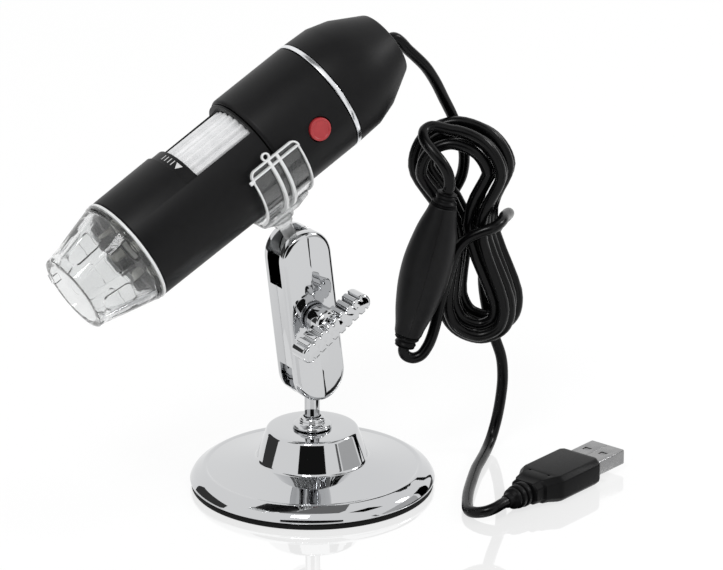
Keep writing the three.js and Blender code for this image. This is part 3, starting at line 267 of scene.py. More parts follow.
# Polycarbonate, injection moulded and clear: a glassy skin with slow waves.
CLEAR = Finish("polycarbonate_clear", "#F4F5F5", "#EFF0F0", 0.05, 3.5, 0.002, 0.3, transmission=0.97)
# The same plastic along edges and ribs, made whiter and mostly opaque: a painted highlight for the bright
# lines that light caught inside clear edges gives.
CLEAR_PAINTED_HIGHLIGHT = Finish("polycarbonate_clear_painted_highlight", "#FAFBFB", "#F3F4F4", 0.2, 0.6, 0.002, 0.3, transmission=0.15)
# And where it is thick, with the haze that a thick moulding has.
CLEAR_THICK = Finish(
    "polycarbonate_clear_thick", "#EDEEEE", "#E4E6E6", 0.12, 2.5, 0.003, 0.3, transmission=0.7
)
# Aluminium ring, turned and bright dipped: almost white, a little satin.
BRIGHT_RING = Finish("aluminium_bright_dipped", "#E9EAEC", "#DFE1E4", 0.2, 0.4, 0.001, 0.2, metallic=1.0)
# ABS with a pearl silver pigment, moulded: pale, with a soft metallic glow.
PEARL = Finish("abs_pearl_silver", "#F2F2F3", "#E6E7E8", 0.3, 0.25, 0.003, 0.15, metallic=0.12)
# ABS dyed red, moulded: an even red with a satin skin.
RED = Finish("abs_red_satin", "#B2393D", "#A83237", 0.36, 0.2, 0.003, 0.1, specular=0.4)
# ABS, black and unpainted, moulded with a fine spark texture.
BLACK_ABS = Finish("abs_black_spark_texture", "#131313", "#0F0F10", 0.48, 0.15, 0.005, 0.1, specular=0.16)
# Glass-fibre board under a white solder mask: even and slightly shiny.
WHITE_MASK = Finish("board_white_solder_mask", "#D9D9D4", "#CECEC8", 0.4, 0.5, 0.002, 0.1)
# Glass-fibre board under a green solder mask.
GREEN_MASK = Finish("board_green_solder_mask", "#1A5A33", "#144A29", 0.35, 0.5, 0.002, 0.1)
# Epoxy lamp, cast: water-clear over a pale phosphor.
LAMP = Finish("epoxy_lamp_cast", "#F1F1EC", "#EAE9DE", 0.05, 1.0, 0.001, 0.2, ior=1.53, transmission=0.6)
# Crown glass with a thin coating, ground and polished.
LENS_GLASS = Finish(
    "crown_glass_polished", "#E6EEF4", "#DCE7F0", 0.01, 2.0, 0.0002, 0.2, ior=1.52, transmission=1.0
)
# Silicon sensor under its glass lid: a dark blue-grey mirror.
SILICON = Finish("silicon_sensor", "#20283A", "#1A2030", 0.15, 0.3, 0.0005, 0.1, coat=0.6)
# Phosphor bronze contacts, gold plated.
GOLD = Finish("gold_plated_bronze", "#D8B25E", "#CBA24C", 0.25, 0.4, 0.001, 0.2, metallic=1.0)
# PBT insulator, moulded white.
INSULATOR = Finish("pbt_white_moulded", "#E4E2DA", "#DBD9D0", 0.45, 0.3, 0.004, 0.1)
# Pad-printed white ink: flat and slightly chalky.
INK = Finish("white_pad_ink", "#E2E2E2", "#D6D6D6", 0.6, 0.1, 0.002, 0.1)


# Shapes, in millimetres


def soften(outline: list[Point], radius: float, closed: bool = True, steps: int = 3) -> list[Point]:
    """Rounds the corners of an outline, each by no more than its sides allow.

    Args:
        outline: The corners in order, each with a rounding of its own as an optional third number.
        radius: How far from a corner its rounding starts.
        closed: Whether the last point joins the first.
        steps: Points of each rounding, less one.

    Returns:
        The rounded outline.
    """
    made: list[Point] = []
    count = len(outline)
    for i, corner in enumerate(outline):
        here = Vector(corner[:2])
        wanted = corner[2] if len(corner) > 2 else radius
        if not closed and i in (0, count - 1):
            made.append(corner[:2])
            continue
        before = Vector(outline[i - 1][:2]) - here
        after = Vector(outline[(i + 1) % count][:2]) - here
        if before.length < 1e-6 or after.length < 1e-6:
            continue
        bend = math.pi - before.angle(after)
        reach = min(wanted, SIDE_SHARE * before.length, SIDE_SHARE * after.length)
        if bend < LEAST_BEND or reach < LEAST_REACH:
            made.append(corner[:2])
            continue
        start, end = here + before.normalized() * reach, here + after.normalized() * reach
        for k in range(steps + 1):
            t = k / steps
            spot = start * (1 - t) ** 2 + here * 2 * t * (1 - t) + end * t**2
            made.append((spot.x, spot.y))
    return made


def arc(radius: float, start: float, end: float, steps: int, x: float = 0, y: float = 0) -> list[Point]:
    """Points of an arc, with its angles in degrees."""
    angles = [math.radians(start + (end - start) * i / steps) for i in range(steps + 1)]
    return [(x + radius * math.cos(a), y + radius * math.sin(a)) for a in angles]


def sector(bore: float, radius: float, start: float, end: float, steps: int) -> list[Point]:
    """The outline of a piece of a ring between two radii and two angles."""
    return arc(radius, start, end, steps) + arc(bore, end, start, steps)


def stadium(half_width: float, half_length: float, steps: int) -> list[Point]:
    """The outline of a slot with round ends that stands along its second axis."""
    straight = half_length - half_width
    return arc(half_width, 0, 180, steps, 0, straight) + arc(half_width, 180, 360, steps, 0, -straight)


def rounded_box(width: float, height: float, corner: float, steps: int = 6) -> list[Point]:
    """The outline of a rectangle with round corners."""
    x, y = width / 2 - corner, height / 2 - corner
    centres = ((x, y, 0), (-x, y, 90), (-x, -y, 180), (x, -y, 270))
    return [p for cx, cy, a in centres for p in arc(corner, a, a + 90, steps, cx, cy)]


def chamfered_box(width: float, height: float, corner: float) -> list[Point]:
    """The outline of a rectangle with flat corners, their ends a little softened."""
    x, y = width / 2, height / 2
    quarter = [(x, y - corner), (x - corner, y)]
    half = [*quarter, *[(-u, v) for u, v in reversed(quarter)]]
    return soften([*half, *[(-u, -v) for u, v in half]], 0.35)


def toothed(radius: float, teeth: int, steps: int, dip: Callable[[float], float]) -> list[Point]:
    """The outline of a wheel with round teeth.

    Args:
        radius: Its largest radius.
        teeth: How many teeth it has.
        steps: Points of each tooth.
        dip: How far the outline falls below that radius, by a wave from one to zero and back for each tooth.

    Returns:
        The outline.
    """
    outline = []
    for i in range(teeth * steps):
        reach = radius - dip(0.5 + 0.5 * math.cos(2 * math.pi * i / steps))
        angle = 2 * math.pi * i / (teeth * steps)
        outline.append((reach * math.cos(angle), reach * math.sin(angle)))
    return outline


def rings(levels: list[list[Vector]], closed: bool = False) -> Solid:
    """A skin through rings of equal point counts.

    Args:
        levels: The rings in order.
        closed: Whether the last ring joins the first; otherwise both ends are capped.

    Returns:
        The points and faces.
    """
    count = len(levels[0])
    points = [p for level in levels for p in level]
    faces: list[tuple[int, ...]] = []
    for level in range(len(levels) - (0 if closed else 1)):
        below, above = level * count, ((level + 1) % len(levels)) * count
        for i in range(count):
            k = (i + 1) % count
            faces.append((below + i, below + k, above + k, above + i))
    if not closed:
        faces.append(tuple(reversed(range(count))))
        faces.append(tuple((len(levels) - 1) * count + i for i in range(count)))
    return points, faces


def rotation(degrees: float, axis: str) -> Matrix:
    """A turn about an axis through the origin."""
    return Matrix.Rotation(math.radians(degrees), 4, axis)


def moved(shape: Solid, matrix: Matrix) -> Solid:
    """The same shape, put somewhere else."""
    return [matrix @ p for p in shape[0]], shape[1]


def shifted(shape: Solid, x: float = 0, y: float = 0, z: float = 0) -> Solid:
    """The same shape, slid along the axes."""
    return moved(shape, Matrix.Translation((x, y, z)))


def rolled(shape: Solid, degrees: float, axis: str = "X") -> Solid:
    """The same shape, turned about an axis through the origin."""
    return moved(shape, rotation(degrees, axis))


def around(shape: Solid, radius: float, first: float, count: int = 8) -> list[Solid]:
    """Copies of a shape, lifted by a radius and then spread round the X axis from a first angle."""
    return [rolled(shifted(shape, z=radius), first + 360 * i / count) for i in range(count)]


def turned(profile: list[Point], along: Along = Along.Z, soft: float = 0.2, segments: int = FINE) -> Solid:
    """A turned piece from its profile of radius and height pairs.

    Args:
        profile: It closes on itself, or starts and ends on the axis.
        along: The way that the axis runs.
        soft: How far each corner is rounded.
        segments: Faces round the axis.

    Returns:
        The points and faces.
    """
    on_axis = profile[0][0] == 0 and profile[-1][0] == 0
    line = soften(profile, soft, closed=not on_axis)
    turn = Matrix(along.value)
    inner = line[1:-1] if on_axis else line
    angles = [2 * math.pi * k / segments for k in range(segments)]
    levels = [[turn @ Vector((r * math.cos(a), r * math.sin(a), h)) for a in angles] for r, h in inner]
    if not on_axis:
        return rings(levels, closed=True)
    points, faces = rings(levels)
    faces = faces[:-2]
    first, last = len(points), len(points) + 1
    points += [turn @ Vector((0, 0, line[0][1])), turn @ Vector((0, 0, line[-1][1]))]
    top = (len(levels) - 1) * segments
    for k in range(segments):
        after = (k + 1) % segments
        faces.append((first, after, k))
        faces.append((last, top + k, top + after))
    return points, faces


def rod(
    radius: float, start: float, end: float, along: Along = Along.Z, soft: float = 0.0, segments: int = MEDIUM
) -> Solid:
    """A plain rod from one height to another."""
    return turned([(0, start), (radius, start), (radius, end), (0, end)], along, soft, segments)


def tube(
    bore: float, radius: float, start: float, end: float, along: Along = Along.Z, soft: float = 0.15
) -> Solid:
    """A plain tube from one height to another."""
    return turned([(bore, start), (radius, start), (radius, end), (bore, end)], along, soft)


def pushed(outline: list[Point], start: float, end: float, along: Along = Along.Z) -> Solid:
    """A flat outline pushed from one height to another."""
    turn = Matrix(along.value)
    return rings([[turn @ Vector((x, y, h)) for x, y in outline] for h in (start, end)])


def lofted(levels: list[tuple[list[Point], float]], along: Along = Along.Z) -> Solid:
    """A solid through outlines of equal point counts, each at its own height."""
    turn = Matrix(along.value)
    return rings([[turn @ Vector((x, y, height)) for x, y in outline] for outline, height in levels])


def block(width: float, depth: float, height: float, x: float = 0, y: float = 0, z: float = 0) -> Solid:
    """A box about a point."""
    half_w, half_d = width / 2, depth / 2
    outline = [(-half_w, -half_d), (half_w, -half_d), (half_w, half_d), (-half_w, half_d)]
    return shifted(pushed(outline, -height / 2, height / 2), x, y, z)


def ball(radius: float, x: float = 0, y: float = 0, z: float = 0) -> Solid:
    """A ball about a point."""
    profile = [(0, -radius), *arc(radius, -90, 90, 32)[1:-1], (0, radius)]
    return shifted(turned(profile, soft=0, segments=MEDIUM), x, y, z)


# Building objects


def as_mesh(shape: Solid, name: str) -> bpy.types.Mesh:
    """A shape as a mesh with its faces turned out, still in millimetres."""
    mesh = bpy.data.meshes.new(name)
    mesh.from_pydata([tuple(p) for p in shape[0]], [], shape[1])
    work = bmesh.new()
    work.from_mesh(mesh)
    bmesh.ops.remove_doubles(work, verts=work.verts, dist=WELD)
    bmesh.ops.recalc_face_normals(work, faces=work.faces)
    work.to_mesh(mesh)
    work.free()
    return mesh


def with_modifiers(piece: Piece) -> None:
    """Applies a piece's modifiers to its mesh."""
    shape = bpy.data.meshes.new_from_object(piece.evaluated_get(bpy.context.evaluated_depsgraph_get()))
    old = piece.data
    piece.modifiers.clear()
    piece.data = shape
    bpy.data.meshes.remove(old)


def linked(name: str, data: bpy.types.ID) -> Piece:
    """A new object in the scene, round its data."""
    made = bpy.data.objects.new(name, data)
    bpy.context.scene.collection.objects.link(made)
    return made


def coated(piece: Piece, finish: Finish) -> None:
    """Gives a piece its one material."""
    piece.data.materials.clear()
    piece.data.materials.append(finish.material())


@dataclass(frozen=True)
class Host:
    """Where pieces of one sub-assembly stand, and the body that carries them."""

    place: Matrix
    body: str

    def make(
        self,
        node: str,
        shape: Solid,
        finish: Finish,
        slot: str,
        joins: Joins = (),
        bevel: float = 0.0,
        smooth: float = 34.0,
        replaces: tuple[str, ...] | None = None,
    ) -> Piece:
        """Builds one piece, dresses it and lets it ride.

        Args:
            node: The frame's node that it stands for, or the new piece's own name.
            shape: The piece's first shape, in the sub-assembly's frame.
            finish: What it is made of.
            slot: A material slot's name; it is not used.
            joins: Shapes that are then cut from it, added to it or kept in common.
            bevel: How wide its sharp edges are eased afterwards.
            smooth: Faces that meet at less than these degrees shade as one.
            replaces: The nodes that it stands for, where they aren't just the one it is named for.

        Returns:
            The finished object.
        """
        name = f"fine_{node}"
        piece = linked(name, as_mesh(shape, name))
        tools = [linked("tool", as_mesh(tool, "tool")) for _, tool in joins]
        for (how, _), tool in zip(joins, tools):
            change = piece.modifiers.new("join", "BOOLEAN")
            change.operation, change.solver, change.object = how.value, "EXACT", tool
        if bevel:
            ease = piece.modifiers.new("ease", "BEVEL")
            ease.limit_method, ease.angle_limit = "ANGLE", EASE_FROM
            ease.width, ease.segments, ease.use_clamp_overlap = bevel, EASE_SEGMENTS, True
        if piece.modifiers:
            bpy.context.view_layer.update()
            with_modifiers(piece)
        for tool in tools:
            bpy.data.objects.remove(tool)
        piece.data.transform(Matrix.Scale(MM, 4) @ self.place)
        piece.data.shade_smooth()
        piece.data.set_sharp_from_angle(angle=math.radians(smooth))
        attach(piece, self.body)
        coated(piece, finish)
        stands_for = (node,) if replaces is None else replaces
        if stands_for:
            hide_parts(*stands_for)
        log.info("%s: %d faces", name, len(piece.data.polygons))
        return piece


def cut(*tools: Solid) -> Joins:
    """Shapes to be cut away."""
    return tuple((Joining.CUT, tool) for tool in tools)


def add(*others: Solid) -> Joins:
    """Shapes to be added."""
    return tuple((Joining.ADD, other) for other in others)


def dressed(finish: Finish, slot: str, *nodes: str) -> None:
    """Gives nodes of the frame, whose own shape stays, their finish.

    Args:
        finish: What they are made of.
        slot: A material slot's name; it is not used.
        nodes: The nodes' names.
    """
    for name in nodes:
        coated(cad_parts[name], finish)


# Where things stand


@dataclass(frozen=True)
class Stance:
    """How the stand and the barrel are set, as in the frame, and the two balls that they share."""

    arm_lean: float = 7.0
    pitch: float = 28.5
    roll: float = 6.4
    ball_radius: float = 4.7
    ball_height: float = 33.7
    ball_spacing: float = 40.5
    stem_length: float = 34.9
    clip_at: float = 43.7

    def upper_ball(self) -> Vector:
        """The centre of the ball that the clip stands on."""
        lean = math.radians(self.arm_lean)
        along = Vector((-math.sin(lean), 0, math.cos(lean)))
        return along * self.ball_spacing + Vector((0, 0, self.ball_height))

    def arm(self) -> Matrix:
        """The arm's frame, midway between the balls."""
        middle = (self.upper_ball() + Vector((0, 0, self.ball_height))) / 2
        return Matrix.Translation(middle) @ rotation(-self.arm_lean, "Y")

    def head(self) -> Matrix:
        """The clip's frame, on the barrel's axis at the clip's middle."""
        tilt = math.radians(self.pitch)
        up = Vector((-math.sin(tilt), 0, math.cos(tilt)))
        return Matrix.Translation(self.upper_ball() + up * self.stem_length) @ rotation(-self.pitch, "Y")

    def barrel(self) -> Matrix:
        """The barrel's frame, on its axis at the seam behind the nose."""
        return self.head() @ Matrix.Translation((-self.clip_at, 0, 0)) @ rotation(-self.roll, "X")


STANCE = Stance()


# The lead


def through(points: list[Vector], share: float, closed: bool) -> Vector:
    """A point of the smooth curve through given points, whose speed follows their spacing.

    Args:
        points: What the curve passes.
        share: The place along it, from zero to one.
        closed: Whether it joins up.

    Returns:
        The point.
    """
    count = len(points)
    at = share * (count if closed else count - 1)
    first = min(math.floor(at), count - (1 if closed else 2))
    into = at - first

    def pick(i: int) -> Vector:
        """The point of that number, going on past either end."""
        if closed:
            return points[i % count]
        if i < 0:
            return 2 * points[0] - points[1]
        return points[i] if i < count else 2 * points[-1] - points[-2]

    before, start, end, after = (pick(first + k) for k in (-1, 0, 1, 2))
    middle = max((end - start).length, 1e-6) ** 0.5
    lead_in = (start - before).length ** 0.5 or middle
    lead_out = (after - end).length ** 0.5 or middle
    step = (end - start) / middle
    leave = ((start - before) / lead_in - (end - before) / (lead_in + middle) + step) * middle
    reach = (step - (after - start) / (middle + lead_out) + (after - end) / lead_out) * middle
    square, cube = into**2, into**3
    return (
        start * (2 * cube - 3 * square + 1)
        + leave * (cube - 2 * square + into)
        + end * (3 * square - 2 * cube)
        + reach * (cube - square)
    )


def sampled(points: list[Vector], each: int) -> list[Vector]:
    """The smooth curve through given points, with so many steps between two of them."""
    count = (len(points) - 1) * each
    return [through(points, i / count, False) for i in range(count + 1)]


UPPER_ROUTE = (
    (-23.45, -5.67, 130.19), (-22.4, -5, 130.68), (-21.1, -4.15, 130.5), (-19.4, -3.1, 128.9),
    (-17.6, -1.9, 126.5), (-15.6, -0.6, 124.2), (-12.4, 1.7, 120.2), (-9.5, 4.4, 114.9), (-7, 7, 109),
    (-4.6, 9.2, 103.4), (-2.4, 9.95, 97.5), (-0.9, 9.95, 91), (-1.6, 9.95, 84.5), (-4.2, 9.9, 79),
    (-5.9, 9.6, 74.2), (-6.3, 8.2, 69.6), (-5.9, 6.6, 66), (-5.5, 5.9, 63.4), (-5.42, 5.85, 61.56),
)  # fmt: skip
INLET_ROUTE = (
    (-8.75, -5.85, 104.44), (-10.9, -6.3, 104.7), (-12.8, -8.3, 104), (-12.7, -11.2, 102.3),
    (-10.5, -13.7, 99.8), (-7.8, -15.2, 96.8), (-6, -15.6, 93.4), (-5.65, -15.6, 90.2),
    (-6.15, -15.6, 88.17),
)  # fmt: skip
LOWER_ROUTE = (
    (-18.35, -15.6, 40.93), (-18.6, -15.6, 39.9), (-18, -15.5, 38.3), (-15.9, -15.2, 37.3),
    (-13.6, -14.8, 38), (-11.8, -14.2, 40.2), (-10.2, -13, 43.6), (-7.7, -10.7, 53.4), (-4.9, -9.9, 63.6),
    (-3.2, -9.95, 68.4), (-0.4, -10, 71.9), (3.6, -10, 74), (7.4, -9.3, 75.2), (9.6, -6.2, 75.9),
    (10.7, -1, 75.8), (11.9, 4.4, 74.8), (11.9, 8.4, 73), (9.2, 10.5, 69), (6.6, 10.4, 63), (5, 10.1, 54),
    (5.9, 10.1, 44.6), (8.3, 10, 35), (10.5, 10, 28), (11, 10, 21.6), (10.5, 9.9, 15.3), (9.4, 9.2, 9),
    (7.9, 6.9, 4.1), (6.3, 2.2, 1.9), (4.7, -4.6, 1.7), (2.9, -12.2, 1.7), (1.3, -22, 1.7), (0.1, -31, 1.7),
    (-0.3, -37, 1.7), (-0.3, -42.5, 1.7), (0.37, -45, 1.8), (2.2, -46.83, 2.2), (4.7, -47.5, 2.8),
    (7.2, -46.83, 3.5), (8.9, -45.3, 3.9), (10.4, -43.5, 4),
)  # fmt: skip


@dataclass
class Lead:
    """The lead: its way to the hank, the hank's loops, the inline control's inlet and the way to the plug."""

    x: float = 48.4
    y: float = -7.9
    facing: float = -32.7
    radius: float = 1.65
    top: float = 104.6
    bottom: float = 37.4
    waist: float = 74
    top_half_width: float = 14.6
    waist_half_width: float = 7.2
    bottom_half_width: float = 11.2
    start: float = 0.05
    end: float = 5.75
    layers: int = 4
    layer_turns: float = 1.5
    step: float = 4.2
    layer_pitch: float = 3.9
    layer_shift: float = 1.2
    lean: float = 0.13
    lean_pivot: float = 77
    samples: int = 6
    turn_samples: int = 72
    outer: list[Vector] = field(default_factory=list)
    upper_points: list[Vector] = field(default_factory=list)
    lower_points: list[Vector] = field(default_factory=list)

    def place(self) -> Matrix:
        """The hank's own frame."""
        return Matrix.Translation((self.x, self.y, 0)) @ rotation(self.facing, "Z")

    def outline(self) -> list[Vector]:
        """The corners of the hank's outer loop, from the left of the waist and down first."""
        flat = [
            (-self.waist_half_width, self.waist),
            *arc(self.bottom_half_width, 180, 360, 4, 0, self.bottom + self.bottom_half_width),
            (self.waist_half_width, self.waist),
            *arc(self.top_half_width, 0, 180, 4, 0, self.top - self.top_half_width),
        ]
        return [Vector((x, 0, z)) for x, z in flat]

    def hank_point(self, turn: float) -> Vector:
        """A point of the hank, by its turns from the start.

        Args:
            turn: The turns gone.

        Returns:
            The point in the hank's frame.
        """
        layer = min(math.floor(turn / self.layer_turns), self.layers - 1)
        into = turn - layer * self.layer_turns
        inward = self.step * (into if layer % 2 == 0 else self.layer_turns - into)
        height = -(self.layers - 1) / 2
        for i in range(1, self.layers):
            share = min(max((turn - i * self.layer_turns + 0.25) / 0.5, 0), 1)
            height += share * share * (3 - 2 * share)
        point = through(self.outer, turn % 1, True)
        ahead = through(self.outer, min(turn % 1 + 1e-4, 1 - 1e-9), True)
        behind = through(self.outer, max(turn % 1 - 1e-4, 0), True)
        along = (ahead - behind).normalized()
        point.x -= along.z * inward
        point.z += along.x * inward
        point.x -= self.lean * (point.z - self.lean_pivot) + self.layer_shift * height
        point.y = -self.layer_pitch * height
        return point

    def line(self, name: str, points: list[Vector], nodes: tuple[str, ...]) -> Piece:
        """A stretch of lead as one smooth round curve.

        Args:
            name: The piece's name.
            points: Its centre line, in the hank's frame.
            nodes: The nodes that it stands for.

        Returns:
            The curve.
        """
        data = bpy.data.curves.new(name, "CURVE")
        data.dimensions, data.use_fill_caps = "3D", True
        data.bevel_depth, data.bevel_resolution = self.radius * MM, 5
        spline = data.splines.new("POLY")
        spline.points.add(len(points) - 1)
        place = Matrix.Scale(MM, 4) @ self.place()
        for spot, point in zip(spline.points, points):
            spot.co = (*(place @ point), 1)
        spline.use_smooth = True
        # A curve whose material comes after its object reports a default box, so it goes on first.
        data.materials.append(SHEATH.material())
        piece = linked(name, data)
        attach(piece, "barrel")
        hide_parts(*nodes)
        return piece

    def build(self) -> tuple[Piece, Piece]:
        """Makes both stretches of the lead: to the inline control, and from it to the plug.

        Returns:
            The two curves.
        """
        self.outer = self.outline()
        turns = self.end - self.start
        count = round(turns * self.turn_samples)
        loops = [self.hank_point(self.start + turns * i / count) for i in range(count + 1)]
        upper, inlet, self.lower_points = [
            sampled([Vector(point) for point in route], self.samples)
            for route in (UPPER_ROUTE, INLET_ROUTE, LOWER_ROUTE)
        ]
        self.upper_points = upper + loops + inlet
        first = self.line("lead_to_control", self.upper_points, ("cord_upper", "cord_hank", "cord_inlet"))
        second = self.line("lead_to_plug", self.lower_points, ("cord_lower",))
        return first, second

    def declare(self) -> None:
        """Works out the lead's frame in metres, and does nothing more with it.
        """
        place = Matrix.Scale(MM, 4) @ self.place()


# The stand


@dataclass
class Stand:
    """The weighted base, its hub and the post with its ball."""

    radius: float = 35.6
    rim_edge: float = 0.5
    bevel_run: float = 4.2
    bevel_rise: float = 3.7
    dish_rise: float = 2.8
    dish_sag: float = 0.42
    hub_foot_radius: float = 15.4
    hub_top_radius: float = 13.1
    hub_rise: float = 8.8
    wall: float = 1.2
    foot_height: float = 1.6
    foot_inset: float = 0.4
    foot_width: float = 6.0
    post_radius: float = 2.25
    ball_radius: float = STANCE.ball_radius
    ball_height: float = STANCE.ball_height
    thread_below: float = 4.4
    nut_flange: float = 5.6
    nut_collar: float = 3.7
    nut_height: float = 3.2
    lock_nut_height: float = 2.8

    def hub_top(self) -> float:
        """The height of the hub's top."""
        return self.foot_height + CLEARANCE + self.rim_edge + self.bevel_rise + self.dish_rise + self.hub_rise

    def dish_profile(self) -> list[Point]:
        """The dish's section, from its rim over the hub and back inside."""
        bottom = self.foot_height + CLEARANCE
        rim, wall, foot = self.radius, self.wall, bottom + self.rim_edge
        bevel_top, bevel = foot + self.bevel_rise, rim - self.bevel_run
        hub_foot, hub_top = bevel_top + self.dish_rise, self.hub_top()
        wide, narrow, bore = self.hub_foot_radius, self.hub_top_radius, self.post_radius + CLEARANCE
        middle_radius, middle = (bevel + wide) / 2, bevel_top + self.dish_rise * self.dish_sag
        return [
            (rim, bottom, 0.15), (rim, foot, 0.4), (rim - 1.1, foot + 1.9, 1.2),
            (bevel + 0.3, bevel_top - 0.05, 0.5), (bevel - 0.4, bevel_top, 0.3),
            (bevel - 0.9, bevel_top - 0.3, 0.3), (middle_radius, middle, 4.0),
            (wide + 1.3, hub_foot - 0.35, 0.5), (wide + 0.8, hub_foot + 0.2, 0.6),
            (narrow + 0.45, hub_top - 1.0, 0.6), (narrow, hub_top - 0.15, 0.6),
            (narrow - 1.0, hub_top, 0.5), (bore, hub_top), (bore, hub_top - wall),
            (narrow - wall, hub_top - wall), (wide - wall, hub_foot - wall), (middle_radius, middle - wall),
            (bevel - wall / 2, bevel_top - wall), (rim - 2 * wall, bottom),
        ]  # fmt: skip

    def build(self) -> None:
        """Makes the stand's pieces."""
        base, post = Host(Matrix.Identity(4), "base"), Host(Matrix.Identity(4), "post")
        base.make("base_dish", turned(self.dish_profile(), soft=0.2), CHROME, "chrome")
        outer = self.radius - self.foot_inset
        inner = outer - self.foot_width
        base.make("foot_ring", tube(inner, outer, 0, self.foot_height, soft=0.3), RUBBER, "foot_rubber")
        cover = rod(inner - CLEARANCE, 0, self.foot_height, soft=0.3)
        base.make("bottom_cover", cover, RUBBER, "foot_rubber")
        start = self.hub_top() + CLEARANCE
        top, bore = start + self.nut_height, self.post_radius + CLEARANCE
        flange, collar = self.nut_flange, self.nut_collar
        nut = [
            (bore, start), (flange, start, 0.2), (flange, start + 0.7, 0.3),
            (flange - 0.5, start + 1.1, 0.3), (collar + 0.3, start + 1.1, 0.5), (collar, start + 1.6, 0.4),
            (collar, top - 0.6, 0.4), (collar - 0.6, top, 0.3), (bore, top),
        ]  # fmt: skip
        base.make("flange_nut", turned(nut, segments=MEDIUM), CHROME, "chrome")
        neck = math.degrees(math.asin(self.post_radius / self.ball_radius))
        balled = arc(self.ball_radius, neck - 90, 90, 40, 0, self.ball_height)[:-1]
        bottom = self.hub_top() - self.wall - self.lock_nut_height - self.thread_below
        profile = [(0, bottom), (self.post_radius, bottom), *balled, (0, self.ball_height + self.ball_radius)]
        post.make("post", turned(profile, soft=0.05, segments=MEDIUM), CHROME, "chrome")
        dressed(ZINC, "steel", "lock_nut")
        dressed(IRON, "iron", "base_weight")


